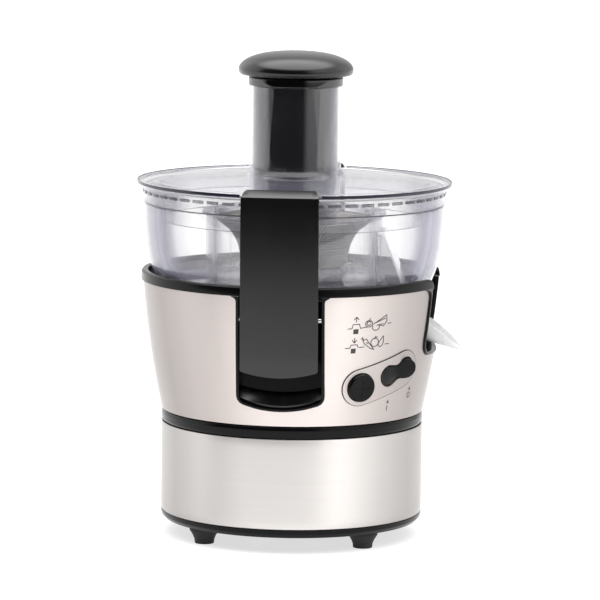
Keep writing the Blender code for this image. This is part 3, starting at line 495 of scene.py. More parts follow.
def lathe(name, profile, segments, steps=4, solid=False, matrix=None):
    # a turned piece; the profile of a solid one starts and ends on the axis
    bm = bmesh.new()
    rows = []
    for radius, z in rounded(profile, steps, not solid):
        if radius < 1e-6:
            rows.append([bm.verts.new((0, 0, z))])
        else:
            rows.append([bm.verts.new(around(360 * k / segments, radius, z)) for k in range(segments)])
    bridge(bm, rows, not solid)
    return toObject(name, bm, matrix)


def prism(name, outline, low, high, matrix=None):
    # a flat outline in XY, pushed up from low to high
    bm = bmesh.new()
    rows = [[bm.verts.new((x, y, z)) for x, y in outline] for z in (low, high)]
    bridge(bm, rows)
    for row in rows:
        bm.faces.new(row)
    return toObject(name, bm, matrix)


def box(name, low, high, matrix=None):
    outline = [(low[0], low[1]), (high[0], low[1]), (high[0], high[1]), (low[0], high[1])]
    return prism(name, outline, low[2], high[2], matrix)


def loft(name, rows, matrix=None):
    # closed rings of points joined in a row, with both ends filled
    bm = bmesh.new()
    loops = [[bm.verts.new(point) for point in row] for row in rows]
    bridge(bm, loops)
    bm.faces.new(loops[0])
    bm.faces.new(loops[-1])
    return toObject(name, bm, matrix)


def bake(obj):
    # turns the result of the object's modifiers into its own mesh
    depsgraph = bpy.context.evaluated_depsgraph_get()
    depsgraph.update()
    made = bpy.data.meshes.new_from_object(obj.evaluated_get(depsgraph))
    obj.modifiers.clear()
    old = obj.data
    obj.data = made
    bpy.data.meshes.remove(old)
    return obj


def carve(obj, operation, *others):
    for other in others:
        modifier = obj.modifiers.new("carve", "BOOLEAN")
        modifier.operation = operation
        modifier.object = other
        modifier.solver = "EXACT"
    bake(obj)
    smooth(obj)
    return obj


def discard(*objs):
    for obj in objs:
        bpy.data.objects.remove(obj, do_unlink=True)


def cut(obj, *cutters):
    carve(obj, "DIFFERENCE", *cutters)
    discard(*cutters)


def soften(obj, width, segments=2, angle=40):
    modifier = obj.modifiers.new("edges", "BEVEL")
    modifier.width = width
    modifier.segments = segments
    modifier.limit_method = "ANGLE"
    modifier.angle_limit = math.radians(angle)
    modifier.use_clamp_overlap = True
    bake(obj)
    smooth(obj, 40)
    return obj


def thicken(obj, thickness, side=-1):
    # a closed wall from an open sheet, on the inside or the outside of it
    modifier = obj.modifiers.new("wall", "SOLIDIFY")
    modifier.thickness = thickness
    modifier.offset = side
    return bake(obj)


def joined(first, *others):
    # one object from several, each keeping its closed shells
    bm = bmesh.new()
    for obj in (first, *others):
        bm.from_mesh(obj.data)
    bm.to_mesh(first.data)
    bm.free()
    smooth(first)
    discard(*others)
    return first


def use(obj, look, body, slot, *nodes):
    obj.data.materials.clear()
    obj.data.materials.append(finish[look])
    for polygon in obj.data.polygons:
        polygon.material_index = 0
    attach(obj, body)
    if nodes:
        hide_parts(*nodes)
    return obj


# growing meshes by Geometry Nodes

class Plant(Graph):
    # a geometry tree with named inputs, run once on a mesh
    def __init__(self, name, inputs):
        super().__init__(bpy.data.node_groups.new(name, "GeometryNodeTree"))
        face = self.tree.interface
        face.new_socket("Geometry", in_out="INPUT", socket_type="NodeSocketGeometry")
        self.keys = {}
        for label, kind in {**inputs, "Material": "Material"}.items():
            socket = face.new_socket(label, in_out="INPUT", socket_type="NodeSocket" + kind)
            self.keys[label] = socket.identifier
        face.new_socket("Geometry", in_out="OUTPUT", socket_type="NodeSocketGeometry")
        start = self.tree.nodes.new("NodeGroupInput")
        self.input = {socket.name: Wire(self, socket) for socket in start.outputs if socket.name}

    def end(self, geometry):
        real = self.node("GeometryNodeRealizeInstances", None, {0: geometry})
        sockets = {"Geometry": real, "Material": self.input["Material"]}
        painted = self.node("GeometryNodeSetMaterial", None, sockets)
        output = self.tree.nodes.new("NodeGroupOutput")
        self.tree.links.new(painted.socket, output.inputs[0])

    def grow(self, obj, look, values):
        modifier = obj.modifiers.new("grow", "NODES")
        modifier.node_group = self.tree
        for label, value in values.items():
            modifier[self.keys[label]] = value
        modifier[self.keys["Material"]] = finish[look]
        bake(obj)
        smooth(obj)
        return obj


def ringPlant():
    # copies of the mesh, turned round the juicer's axis
    p = Plant("ringOfCopies", {"Count": "Int", "Start": "Float", "Step": "Float"})
    points = p.node("GeometryNodePoints", None, {"Count": p.input["Count"]})
    index = p.node("GeometryNodeInputIndex")
    turn = p.node("ShaderNodeCombineXYZ", None, {"Z": index * p.input["Step"] + p.input["Start"]})
    centred = p.node("GeometryNodeTransform", None, {
        "Geometry": p.input["Geometry"], "Translation": (-axisX, 0, 0)})
    copies = p.node("GeometryNodeInstanceOnPoints", None, {
        "Points": points, "Instance": centred, "Rotation": turn})
    back = p.node("GeometryNodeTransform", None, {"Geometry": copies, "Translation": (axisX, 0, 0)})
    p.end(back)
    return p


def spiralPlant():
    # copies of the mesh along a widening spiral on the disc
    p = Plant("spiralOfCopies", {
        "Count": "Int", "Inner": "Float", "Outer": "Float", "Turn": "Float", "Height": "Float"})
    index = p.node("GeometryNodeInputIndex")
    share = index / p.input["Count"]
    inner = p.input["Inner"] * p.input["Inner"]
    outer = p.input["Outer"] * p.input["Outer"]
    radius = p.math("SQRT", inner + (outer - inner) * share)
    angle = index * p.input["Turn"]
    spot = p.node("ShaderNodeCombineXYZ", None, {
        "X": radius * p.math("COSINE", angle) + axisX, "Y": radius * p.math("SINE", angle),
        "Z": p.input["Height"]})
    points = p.node("GeometryNodePoints", None, {"Count": p.input["Count"], "Position": spot})
    facing = p.node("ShaderNodeCombineXYZ", None, {"Z": angle})
    copies = p.node("GeometryNodeInstanceOnPoints", None, {
        "Points": points, "Instance": p.input["Geometry"], "Rotation": facing})
    p.end(copies)
    return p


def flarePlant():
    # a flared wall whose radius follows the height by a rule: radius + flare * rise - droop * rise * rise
    p = Plant("flaredWall", {
        "Radius": "Float", "Flare": "Float", "Droop": "Float", "Low": "Float", "High": "Float",
        "Around": "Int", "Rows": "Int"})
    grid = p.node("GeometryNodeMeshGrid", None, {
        "Size X": 1.0, "Size Y": 1.0, "Vertices X": p.input["Around"] + 1, "Vertices Y": p.input["Rows"]})
    place = p.node("ShaderNodeSeparateXYZ", None, {0: p.node("GeometryNodeInputPosition")})
    angle = (place + 0.5) * (2 * math.pi)
    rise = (place.other("Y") + 0.5) * (p.input["High"] - p.input["Low"])
    radius = p.input["Radius"] + p.input["Flare"] * rise - p.input["Droop"] * rise * rise
    spot = p.node("ShaderNodeCombineXYZ", None, {
        "X": radius * p.math("SINE", angle) + axisX, "Y": 0 - radius * p.math("COSINE", angle),
        "Z": p.input["Low"] + rise})
    bent = p.node("GeometryNodeSetPosition", None, {"Geometry": grid, "Position": spot})
    seam = p.node("GeometryNodeMergeByDistance", None, {"Geometry": bent, "Distance": 0.00001})
    p.end(seam)
    return p


def sievePlant():
    # every face of the sheet gets a hole in its middle
    p = Plant("perforatedSheet", {"Open": "Float"})
    pushed = p.node("GeometryNodeExtrudeMesh", {"mode": "FACES"}, {
        "Mesh": p.input["Geometry"], "Offset Scale": 0.0, "Individual": True})
    shrunk = p.node("GeometryNodeScaleElements", {"domain": "FACE"}, {
        "Geometry": pushed, "Selection": pushed.other("Top"), "Scale": p.input["Open"]})
    holed = p.node("GeometryNodeDeleteGeometry", {"domain": "FACE"}, {
        "Geometry": shrunk, "Selection": pushed.other("Top")})
    welded = p.node("GeometryNodeMergeByDistance", None, {"Geometry": holed, "Distance": 0.000001})
    p.end(welded)
    return p


ringOfCopies = ringPlant()
spiralOfCopies = spiralPlant()
flaredWall = flarePlant()
perforatedSheet = sievePlant()
root = "juicer_body"


def ringCopies(obj, look, count, start, step=None):
    step = math.radians(step if step is not None else 360 / count)
    return ringOfCopies.grow(obj, look, {"Count": count, "Start": math.radians(start), "Step": step})


# base, feet and lower band

baseSettings = {
    "radius": 0.1000,
    "low": 0.0120,
    "bandLow": 0.0185,
    "floor": 0.003,
    "footCircle": 0.085,
    "footAngle": 45,
    "slots": 8,
    "slotNear": 0.040,
    "slotFar": 0.066,
    "slotHalf": 0.003,
}


def makeBase(s):
    radius, low, high = s["radius"], s["low"], s["bandLow"]
    profile = [
        (0, low + s["floor"]), (0.0945, low + s["floor"], 0.001), (0.0945, high + 0.006, 0.0004),
        (0.0972, high + 0.006, 0.0004), (0.0972, high), (radius, high, 0.0005),
        (radius - 0.0004, high - 0.0034, 0.002), (0.0970, low, 0.0012), (0.0930, low),
        (0.0930, low + 0.0008), (0, low + 0.0008)]
    base = lathe("basePlate", profile, 192, solid=True)
    hole = prism("holes", circle(0, -s["footCircle"], 0.0043, 24), 0.005, 0.020)
    slot = prism("slots", slotOutline(s), 0.005, 0.020)
    ringCopies(hole, "glossBlack", 4, s["footAngle"])
    ringCopies(slot, "glossBlack", s["slots"], 22.5)
    cut(base, hole, slot)
    use(base, "glossBlack", root, "gloss_black_plastic", "base_plate")


def circle(x, y, radius, steps):
    return [(x + radius * math.cos(2 * math.pi * k / steps), y + radius * math.sin(2 * math.pi * k / steps))
            for k in range(steps)]


def slotOutline(s):
    half = s["slotHalf"]
    outline = []
    for centre, start in ((-s["slotNear"], 0), (-s["slotFar"], 180)):
        for step in range(9):
            turn = math.radians(start + 180 * step / 8)
            outline.append((half * math.cos(turn), centre + half * math.sin(turn)))
    return outline


footSettings = {"padRadius": 0.0073, "flangeRadius": 0.0115, "stemRadius": 0.0038, "top": 0.0172}


def makeFeet(s):
    flange = baseSettings["low"] - 0.0003
    profile = [
        (0, s["top"]), (0.0046, s["top"], 0.0006), (0.0050, 0.0156, 0.0003), (s["stemRadius"], 0.0154),
        (s["stemRadius"], flange), (s["flangeRadius"], flange, 0.0003),
        (s["flangeRadius"] - 0.0003, 0.0100, 0.0010), (0.0088, 0.0062, 0.002), (0.0076, 0.0032, 0.0010),
        (s["padRadius"], 0.0, 0.0006), (0.0046, 0.0, 0.0003), (0.0042, 0.0009, 0.0003), (0, 0.0009)]
    place = Matrix.Translation(around(0, baseSettings["footCircle"]))
    feet = lathe("rubberFeet", profile, 40, 3, True, place)
    ringCopies(feet, "blackRubber", 4, baseSettings["footAngle"])
    use(feet, "blackRubber", root, "black_rubber", "foot_1", "foot_2", "foot_3", "foot_4")


bandSettings = {
    "radius": 0.1000, "skin": 0.0008, "low": 0.0188, "high": 0.0867, "rows": 12,
    "glandZ": 0.034, "glandHole": 0.0068, "glandFace": 0.1020}


def makeBand(s):
    radius, inner = s["radius"], s["radius"] - s["skin"]
    low, high, rows = s["low"], s["high"], s["rows"]
    profile = [(radius - 0.0002, high, 0.0003)]
    for row in range(1, rows):
        profile.append((radius, high + (low - high) * row / rows))
    profile += [(radius - 0.0002, low, 0.0003), (inner, low), (inner, high)]
    band = lathe("lowerBand", profile, 256, 2)
    behind = Matrix.Translation((0, 0, s["glandZ"])) @ turnedBy(-90, "X")
    cut(band, prism("hole", circle(0, 0, s["glandHole"], 48), 0.085, 0.110, behind))
    use(band, "bandSteel", root, "brushed_stainless", "lower_band")

    # a flanged sleeve with a groove, gripped by the band
    face = s["glandFace"]
    profile = [
        (0.0090, face, 0.0008), (0.0090, face - 0.0018), (0.0062, face - 0.0018), (0.0062, face - 0.0060),
        (0.0085, face - 0.0060), (0.0085, face - 0.0080), (0.0036, face - 0.0080), (0.0036, face, 0.0006)]
    gland = lathe("cordGland", profile, 48, matrix=behind)
    use(gland, "blackRubber", root, "black_rubber", "cord_gland")


waistSettings = {"low": 0.0870, "high": 0.0967, "radius": 0.1001}


def makeWaist(s):
    low, high, radius = s["low"], s["high"], s["radius"]
    profile = [
        (0.0986, high, 0.0003), (radius - 0.0006, high - 0.0010, 0.0006), (radius, high - 0.0032, 0.0010),
        (radius - 0.0002, low + 0.0022, 0.0010), (0.0988, low, 0.0008), (0.0860, low), (0.0860, high)]
    use(lathe("waistRing", profile, 224), "glossBlack", root, "gloss_black_plastic", "waist_ring")


makeBase(baseSettings)
makeFeet(footSettings)
makeBand(bandSettings)
makeWaist(waistSettings)
print("stage: base and lower band")


# upper shell and the openings in it

shellSettings = {
    "radius": 0.1000, "flare": 0.2207, "droop": 0.718, "low": 0.0970, "high": 0.1985, "skin": 0.0008,
    "around": 240, "rows": 44}

# each opening is a U cut down from the shell's top edge; sag is how much its lower edge bows, proud is how
# far its lip stands out of the steel, flare is the radius by which the lip widens into the rim, and rimCut is
# the radius from which outwards it cuts the rim
pocketSettings = {
    "half": 0.0308, "floor": 0.1106, "top": 0.1952, "corner": 0.0055, "sag": 5.6, "lip": 0.0024,
    "back": 0.0890, "proud": 0.0013, "flare": 0.0040, "rimCut": 0.1133, "ceiling": (0.1848, 0.1866)}
spoutOpening = {
    "half": 0.0386, "floor": 0.1445, "top": 0.1952, "corner": 0.0110, "sag": 1.2, "lip": 0.0024,
    "back": 0.0682, "proud": 0.0013, "flare": 0.0085, "rimCut": 0.1000}
openings = ((pocketSettings, 0), (pocketSettings, 180), (spoutOpening, 90))


def openingPath(s, steps=110):
    # the opening's edge from its top left, down and round to its top right, at even steps
    half, floor, sag = s["half"], s["floor"], s["sag"]
    corners = [(-half, s["top"]), (-half, floor + sag * half * half, s["corner"])]
    inside = half - s["corner"] * 2.2
    for step in range(9):
        x = -inside + 2 * inside * step / 8
        corners.append((x, floor + sag * x * x))
    corners += [(half, floor + sag * half * half, s["corner"]), (half, s["top"])]
    points = [Vector(point) for point in rounded(corners, 10, False)]
    lengths = [0.0]
    for first, second in zip(points, points[1:]):
        lengths.append(lengths[-1] + (second - first).length)
    path = []
    place = 0
    for step in range(steps + 1):
        want = lengths[-1] * step / steps
        while place < len(points) - 2 and lengths[place + 1] < want:
            place += 1
        share = (want - lengths[place]) / (lengths[place + 1] - lengths[place])
        path.append(points[place].lerp(points[place + 1], min(1.0, share)))
    return path


def outwardNormals(path):
    normals = []
    for number in range(len(path)):
        run = path[min(number + 1, len(path) - 1)] - path[max(number - 1, 0)]
        normals.append(Vector((run.y, -run.x)).normalized())
    return normals


def flareAt(s, z):
    # how far the lip's outer edge widens as it runs up into the rim
    rise = z - (s["top"] - s["flare"])
    if rise <= 0:
        return 0.0
    return s["flare"] - math.sqrt(max(0.0, s["flare"] ** 2 - min(rise, s["flare"]) ** 2))


def lipEdge(s, clearance):
    edge = []
    path = openingPath(s)
    for point, normal in zip(path, outwardNormals(path)):
        edge.append(point + normal * (s["lip"] + flareAt(s, point.y) + clearance))
    return edge


def openingCutter(s, angle, clearance, top=0.2300):
    # a prism through the wall with the outline of the lip, open at the top
    edge = lipEdge(s, clearance)
    outline = [(point.x, point.y) for point in edge]
    outline += [(outline[-1][0], top), (outline[0][0], top)]
    return prism("cutter", outline, s["back"] - 0.002, 0.140, standing(angle))


def makeLiner(name, s, angle):
    # the opening's lip and side walls as one swept section, with a back wall behind them
    path = openingPath(s)
    normals = outwardNormals(path)
    lip = s["lip"]
    rows = []
    for point, normal in zip(path, normals):
        wide = lip + flareAt(s, point.y)
        section = [
            (0, None), (0, -0.0020), (0, s["proud"] - 0.0006), (0.0002, s["proud"] - 0.0002),
            (0.0006, s["proud"]), (wide - 0.0007, s["proud"]), (wide - 0.0002, s["proud"] - 0.0003),
            (wide, s["proud"] - 0.0008), (wide, -0.0012), (lip, -0.0030), (lip, None)]
        row = []
        for out, proud in section:
            spot = point + normal * out
            if proud is None:
                row.append((spot.x, -s["back"], spot.y))
            else:
                radius = shellRadius(spot.y) + proud
                row.append((spot.x, -math.sqrt(radius * radius - spot.x * spot.x), spot.y))
        rows.append(row)
    liner = loft(name, rows, turnedBy(angle))
    edge = [(point.x, point.y) for point in lipEdge(s, -lip * 0.5)]
    wall = prism(name + "Back", edge, s["back"] - 0.002, s["back"], standing(angle))
    return liner, wall


def makePocket(name, angle, node):
    s = pocketSettings
    liner, wall = makeLiner(name, s, angle)
    # the sloping sill that closes the pocket's lower end
    section = [
        (0.1012, 0.1096), (0.1016, 0.1126), (0.1008, 0.1136), (0.0962, 0.1198), (0.0952, 0.1204),
        (0.0880, 0.1204), (0.0880, 0.1096)]
    rows = []
    reach, steps = s["half"] * 1.01, 24
    for step in range(steps + 1):
        x = reach * (2 * step / steps - 1)
        rows.append([(x, -math.sqrt(r * r - x * x), z + s["sag"] * x * x) for r, z in section])
    sill = loft(name + "Sill", rows, turnedBy(angle))
    low, high = s["ceiling"]
    ceiling = box(name + "Ceiling", (-0.0312, -0.1080, low), (0.0312, -0.0870, high), turnedBy(angle))
    pocket = joined(liner, wall, ceiling)
    use(pocket, "glossBlack", root, "gloss_black_plastic", node)
    use(sill, "satinBlack", root, "gloss_black_plastic")


def makeSpoutOpening():
    liner, wall = makeLiner("spoutSurround", spoutOpening, 90)
    # the duct comes through the back wall
    cut(wall, box("hole", (0.0, -0.0205, 0.150), (0.0900, 0.0205, 0.240)))
    use(joined(liner, wall), "glossBlack", root, "gloss_black_plastic", "spout_surround")


def surfaceFrame(angle, z, tilt=0.0, depth=0.0):
    # X runs along the surface towards the spout, Z straight out of it
    slope = math.atan(shellSettings["flare"] - 2 * shellSettings["droop"] * (z - shellSettings["low"]))
    turn = math.radians(angle)
    outward = Vector((math.sin(turn) * math.cos(slope), -math.cos(turn) * math.cos(slope), -math.sin(slope)))
    across = Vector((math.cos(turn), math.sin(turn), 0))
    upward = outward.cross(across)
    spot = around(angle, shellRadius(z), z) - outward * depth
    basis = Matrix((across, upward, outward)).transposed().to_4x4()
    return Matrix.Translation(spot) @ basis @ turnedBy(tilt)


controlSettings = {
    "buttonAngle": 33.8, "buttonZ": 0.1262, "buttonR": 0.0109,
    "rockerAngle": 52.0, "rockerZ": 0.1356, "rockerTilt": 15.6, "rockerThrow": 10.0, "rockerDepth": 0.005,
    "lobeOut": 0.0089, "lobeR": 0.0080, "waist": 0.0054, "fold": 0.0049, "rise": 0.0030,
    "panelRight": 55.5, "panelRightZ": 0.1371, "panelR": 0.0146, "panelShadowWidth": 0.00045,
    "patchAngles": (20, 70), "patchHeights": (0.106, 0.157)}


def peanut(s, grow, steps=64):
    # two lobes drawn in at the waist
    outline = []
    reach = s["lobeOut"] + s["lobeR"] + grow
    for step in range(steps):
        turn = 2 * math.pi * step / steps
        x = reach * math.cos(turn)
        tip = step % (steps // 2) == 0
        outline.append((x, 0.0 if tip else math.copysign(peanutHalf(s, abs(x), grow), math.sin(turn))))
    return outline


def peanutHalf(s, x, grow):
    # half the outline's height at this distance from the middle
    lobe, out = s["lobeR"] + grow, s["lobeOut"]
    if x >= out:
        return math.sqrt(max(0.0, lobe * lobe - (x - out) ** 2))
    share = x / out
    ease = share * share * (3 - 2 * share)
    return (s["waist"] + grow) + (lobe - s["waist"] - grow) * ease


def stadium(half, radius, steps=20):
    points = []
    for side, start in ((1, -90), (-1, 90)):
        for step in range(steps + 1):
            turn = math.radians(start + 180 * step / steps)
            points.append((side * half + radius * math.cos(turn), radius * math.sin(turn)))
    return points


def buttonFrame(s):
    return surfaceFrame(s["buttonAngle"], s["buttonZ"])


def rockerFrame(s, depth=0.0):
    return surfaceFrame(s["rockerAngle"], s["rockerZ"], s["rockerTilt"], depth)


def controlHoles(s):
    # the holes for the button and the rocker, right through the wall
    button = prism("hole", circle(0, 0, s["buttonR"] + 0.0005, 48), -0.02, 0.02, buttonFrame(s))
    return button, prism("hole", peanut(s, 0.0006), -0.02, 0.02, rockerFrame(s))


def panelFrame(s):
    # the slanted frame of the panel's middle, and half the distance between its round ends
    left = buttonFrame(s)
    right = surfaceFrame(s["panelRight"], s["panelRightZ"])
    middle = surfaceFrame((s["buttonAngle"] + s["panelRight"]) / 2, (s["buttonZ"] + s["panelRightZ"]) / 2)
    ends = [middle.inverted() @ end.translation for end in (left, right)]
    run = ends[1] - ends[0]
    tilt = math.degrees(math.atan2(run.y, run.x))
    return middle @ Matrix.Translation((ends[0] + ends[1]) / 2) @ turnedBy(tilt), run.length / 2 + 0.0005


def shellPatch(name, angles, heights, inner, outer, across=96, rows=48):
    # a curved slab that follows the shell between two angles and two heights
    bm = bmesh.new()
    layers = []
    for lift in (inner, outer):
        layer = []
        for row in range(rows + 1):
            z = heights[0] + (heights[1] - heights[0]) * row / rows
            line = []
            for step in range(across + 1):
                angle = angles[0] + (angles[1] - angles[0]) * step / across
                line.append(bm.verts.new(around(angle, shellRadius(z) + lift, z)))
            layer.append(line)
        bridge(bm, layer, False, False)
        layers.append(layer)
    rims = []
    for layer in layers:
        ends = [line[-1] for line in layer[:-1]]
        starts = [line[0] for line in layer[:0:-1]]
        rims.append(layer[0][:-1] + ends + layer[-1][:0:-1] + starts)
    bridge(bm, rims)
    return toObject(name, bm)


def makeShell(s):
    shell = bpy.data.objects.new("upperShell", bpy.data.meshes.new("upperShell"))
    bpy.context.scene.collection.objects.link(shell)
    flaredWall.grow(shell, "brushedStainless", {
        "Radius": s["radius"], "Flare": s["flare"], "Droop": s["droop"], "Low": s["low"], "High": s["high"],
        "Around": s["around"], "Rows": s["rows"]})
    # the steel's thickness goes inwards, whichever way the grown sheet faces
    face = shell.data.polygons[0]
    side = face.normal.dot(face.center - Vector((axisX, 0, face.center.z)))
    thicken(shell, s["skin"], -1 if side > 0 else 1)
    bm = bmesh.new()
    bm.from_mesh(shell.data)
    bmesh.ops.recalc_face_normals(bm, faces=bm.faces)
    bm.to_mesh(shell.data)
    bm.free()
    cutters = [openingCutter(s, angle, -0.0002) for s, angle in openings]
    cut(shell, *cutters, *controlHoles(controlSettings))
    use(shell, "brushedStainless", root, "brushed_stainless", "upper_shell")


def makePanel(s):
    # a thin oval plate, and a black ring round it that paints the shadow in the gap at its edge
    at, half = panelFrame(s)
    panel = shellPatch("controlPanel", s["patchAngles"], s["patchHeights"], 0.0002, 0.0007)
    edge = shellPatch("panelShadowLine", s["patchAngles"], s["patchHeights"], 0.0001, 0.0005)
    outer = prism("cutter", stadium(half, s["panelR"]), -0.02, 0.02, at)
    inner = prism("cutter", stadium(half, s["panelR"] - s["panelShadowWidth"]), -0.02, 0.02, at)
    carve(panel, "INTERSECT", inner)
    cut(panel, *controlHoles(s))
    carve(edge, "INTERSECT", outer)
    carve(edge, "DIFFERENCE", inner)
    discard(outer, inner)
    use(panel, "panelSteel", root, "brushed_stainless", "control_panel")
    use(edge, "glossBlack", root, "gloss_black_plastic")


rimSettings = {
    "low": 0.1955, "step": 0.1990, "top": 0.2030, "edge": 0.0004, "mouthLow": 0.1935, "mouthTop": 0.2034}


def mouthCutter(s, angle):
    # where an opening runs up through the rim its corners turn outwards in a quarter circle
    half, flare, top = s["half"], s["flare"], rimSettings["mouthTop"]
    outline = [(half, rimSettings["mouthLow"])]
    for step in range(9):
        turn = math.radians(90 * step / 8)
        outline.append((half + flare * (1 - math.cos(turn)), top - flare + flare * math.sin(turn)))
    outline.append((half + flare, 0.2100))
    outline += [(-x, z) for x, z in reversed(outline)]
    return prism("cutter", outline, s["rimCut"], 0.130, standing(angle))


def makeRimTrim(s):
    low, step, top = s["low"], s["step"], s["top"]
    profile = [
        (0.1113, top - 0.0002, 0.0004), (0.1150, top, 0.0008), (0.1163, top - 0.0013, 0.0010),
        (0.1165, low, 0.0004), (0.1150, low), (0.1150, step), (0.1111, step)]
    trim = lathe("rimTrim", profile, 256)
    for opening, angle in openings:
        cut(trim, mouthCutter(opening, angle))
    soften(trim, s["edge"], 2, 50)
    use(trim, "glossBlack", root, "gloss_black_plastic", "rim_trim")


housingSettings = {
    "gap": 0.0014, "wall": 0.002, "deckLow": 0.1870, "deckHigh": 0.1900, "top": 0.2020, "ceiling": 0.1866,
    "postCircle": 0.040, "postRadius": 0.0055, "postLow": 0.1725}


def makeHousing(s):
    # the plastic body behind the steel: flared wall, bowl holder and deck in one moulding
    low, high = s["deckLow"], s["deckHigh"]
    heights = [0.1960, 0.178, 0.160, 0.142, 0.124, shellSettings["low"]]
    profile = [(shellRadius(z) - s["gap"], z) for z in heights]
    profile += [(shellRadius(z) - s["gap"] - s["wall"], z) for z in reversed(heights[1:])]
    profile += [
        (0.1106, 0.1935), (0.1072, low), (0.0170, low), (0.0170, high, 0.0006), (0.1030, high, 0.001),
        (0.1066, 0.1950, 0.001), (0.1090, s["top"], 0.0005), (0.1107, s["top"]), (0.1107, 0.1966)]
    housing = lathe("upperHousing", profile, 192, 3)
    controls = controlSettings
    cut(housing,
        openingCutter(pocketSettings, 0, 0.0003, s["ceiling"]),
        openingCutter(pocketSettings, 180, 0.0003, s["ceiling"]),
        box("cutter", (0.0660, -0.0414, 0.1419), (0.140, 0.0414, s["ceiling"])),
        box("cutter", (0.0660, -0.0212, 0.180), (0.0905, 0.0212, 0.195)),
        mouthCutter(spoutOpening, 90),
        prism("cutter", circle(0, 0, 0.0120, 32), -0.02, 0.02, buttonFrame(controls)),
        prism("cutter", stadium(0.0092, 0.0085), -0.02, 0.02, rockerFrame(controls)))
    post = prism("posts", circle(0, -s["postCircle"], s["postRadius"], 24), s["postLow"], low + 0.001)
    ringCopies(post, "deckBlack", 4, 45)
    carve(housing, "UNION", post)
    discard(post)
    use(housing, "deckBlack", root, "satin_black_plastic", "upper_housing")


makeShell(shellSettings)
makePanel(controlSettings)
makePocket("frontPocket", 0, "front_pocket")
makePocket("rearPocket", 180, "rear_pocket")
makeSpoutOpening()
makeRimTrim(rimSettings)
makeHousing(housingSettings)
print("stage: upper shell")


# button, rocker and printed marks

def makeButton(s):
    radius = s["buttonR"]
    profile = [
        (0, 0.0028), (0.0060, 0.0030), (0.0090, 0.0035), (0.0101, 0.0034, 0.0006), (radius, 0.0024, 0.0006),
        (radius, -0.0050), (0.0030, -0.0050), (0.0030, -0.0080), (0, -0.0080)]
    at = buttonFrame(s)
    button = lathe("speedButton", profile, 96, 4, True, at)
    # a shallow cross in its top
    for long, wide in ((0.0062, 0.0004), (0.0004, 0.0062)):
        cut(button, box("cutter", (-long, -wide, 0.0026), (long, wide, 0.006), at))
    use(button, "glossBlack", "speed_button", "gloss_black_plastic", "speed_button")


def makeRocker(s):
    # stations along the rocker; its top dips to a fold in the middle
    reach = s["lobeOut"] + s["lobeR"] - 0.0002
    rows = []
    steps = 40
    for step in range(steps + 1):
        turn = math.pi * (0.02 + 0.96 * step / steps)
        x = -reach * math.cos(turn)
        half = max(0.0006, peanutHalf(s, abs(x), -0.0002))
        top = s["fold"] + s["rise"] * (abs(x) / reach) ** 1.2 - 0.0006 * (half < 0.003)
        edge = min(0.0009, half * 0.4)
        side = [
            (-half, -0.0008), (-half, top - edge), (-half + edge * 0.35, top - edge * 0.3),
            (-half + edge, top)]
        line = side + [(0, top - 0.0003)] + [(-y, z) for y, z in reversed(side)]
        rows.append([(x, y, z) for y, z in line])
    rocker = loft("powerRocker", rows, rockerFrame(s, s["rockerDepth"]) @ turnedBy(-s["rockerThrow"], "Y"))
    use(rocker, "glossBlack", "power_rocker", "gloss_black_plastic", "power_rocker")


def arcLine(x, y, wide, high, start=0, end=360, steps=20):
    points = []
    for step in range(steps + 1):
        turn = math.radians(start + (end - start) * step / steps)
        points.append((x + wide * math.cos(turn), y + high * math.sin(turn)))
    return points


markSettings = {
    "line": 0.52,  # width of a stroke in millimetres
    "piece": 1.5,  # longest piece of a stroke in millimetres
    "base": 0.00001,  # the ink's lower and upper face above the steel
    "lift": 0.00008,
    "wide": 1.30,  # scale of the drawings below
    "tall": 1.22,
    "places": {"upper": (35.4, 0.1735), "lower": (35.4, 0.1590), "on": (49.0, 0.1098), "off": (62.4, 0.1175)},
}

# strokes in millimetres about each group's middle: a raised or a pushed key, then the fruit for it
markStrokes = {
    "upper": [
        [(-13.6, -1.6), (-11.4, -1.6)], [(-5.8, -1.5), (-1.6, -1.0)], [(13.0, 0.4), (15.2, 0.6)],
        [(-11.2, -1.5), (-10.6, 1.0), (-6.6, 1.1), (-5.9, -1.4)],
        [(-8.6, 2.6), (-8.6, 5.2)], [(-10.0, 4.0), (-8.6, 5.6), (-7.2, 4.0)],
        arcLine(-0.4, 1.0, 2.3, 2.0), arcLine(-0.4, 1.2, 1.3, 1.1, 30, 320), [(-0.6, 3.0), (0.5, 4.3)],
        arcLine(4.4, -1.4, 2.4, 1.9, 150, 390),
        [(2.6, 0.6), (11.6, 5.8), (12.0, 2.0), (9.8, -0.9), (6.6, -0.3)],
        [(3.6, 1.2), (10.8, 3.8)], [(5.0, -0.2), (9.4, 0.4)]],
    "lower": [
        [(-14.4, -1.8), (-11.8, -1.8)], [(-5.6, -1.6), (-2.6, -1.4)], [(12.0, -0.6), (14.6, -0.5)],
        [(-11.6, -1.7), (-11.0, 0.1), (-7.2, 0.2), (-6.4, -1.6)],
        [(-9.0, 4.2), (-9.0, 1.6)], [(-10.4, 3.0), (-9.0, 1.4), (-7.6, 3.0)],
        [(-3.6, 2.6), (-1.4, 3.4), (2.6, -1.6), (4.2, -3.4), (1.6, -2.6), (-2.6, 0.6), (-3.6, 2.6)],
        [(-3.0, 2.8), (-4.8, 3.8)], [(-3.4, 3.2), (-4.0, 4.6)], [(-1.2, 1.2), (0.0, 0.4)],
        arcLine(4.4, 1.0, 2.6, 2.6, 100, 440), [(4.3, 3.2), (4.7, 4.6)], [(4.6, 4.0), (6.0, 4.4)],
        [(7.2, 0.6), (9.2, 3.4), (10.4, 4.6), (10.6, 1.0), (9.8, -1.4), (8.0, -2.0), (6.9, -0.8),
         (7.2, 0.6)]],
    "on": [[(0, -3.0), (0, 0.0)]],
    "off": [arcLine(0, -1.5, 1.3, 1.6)],
}
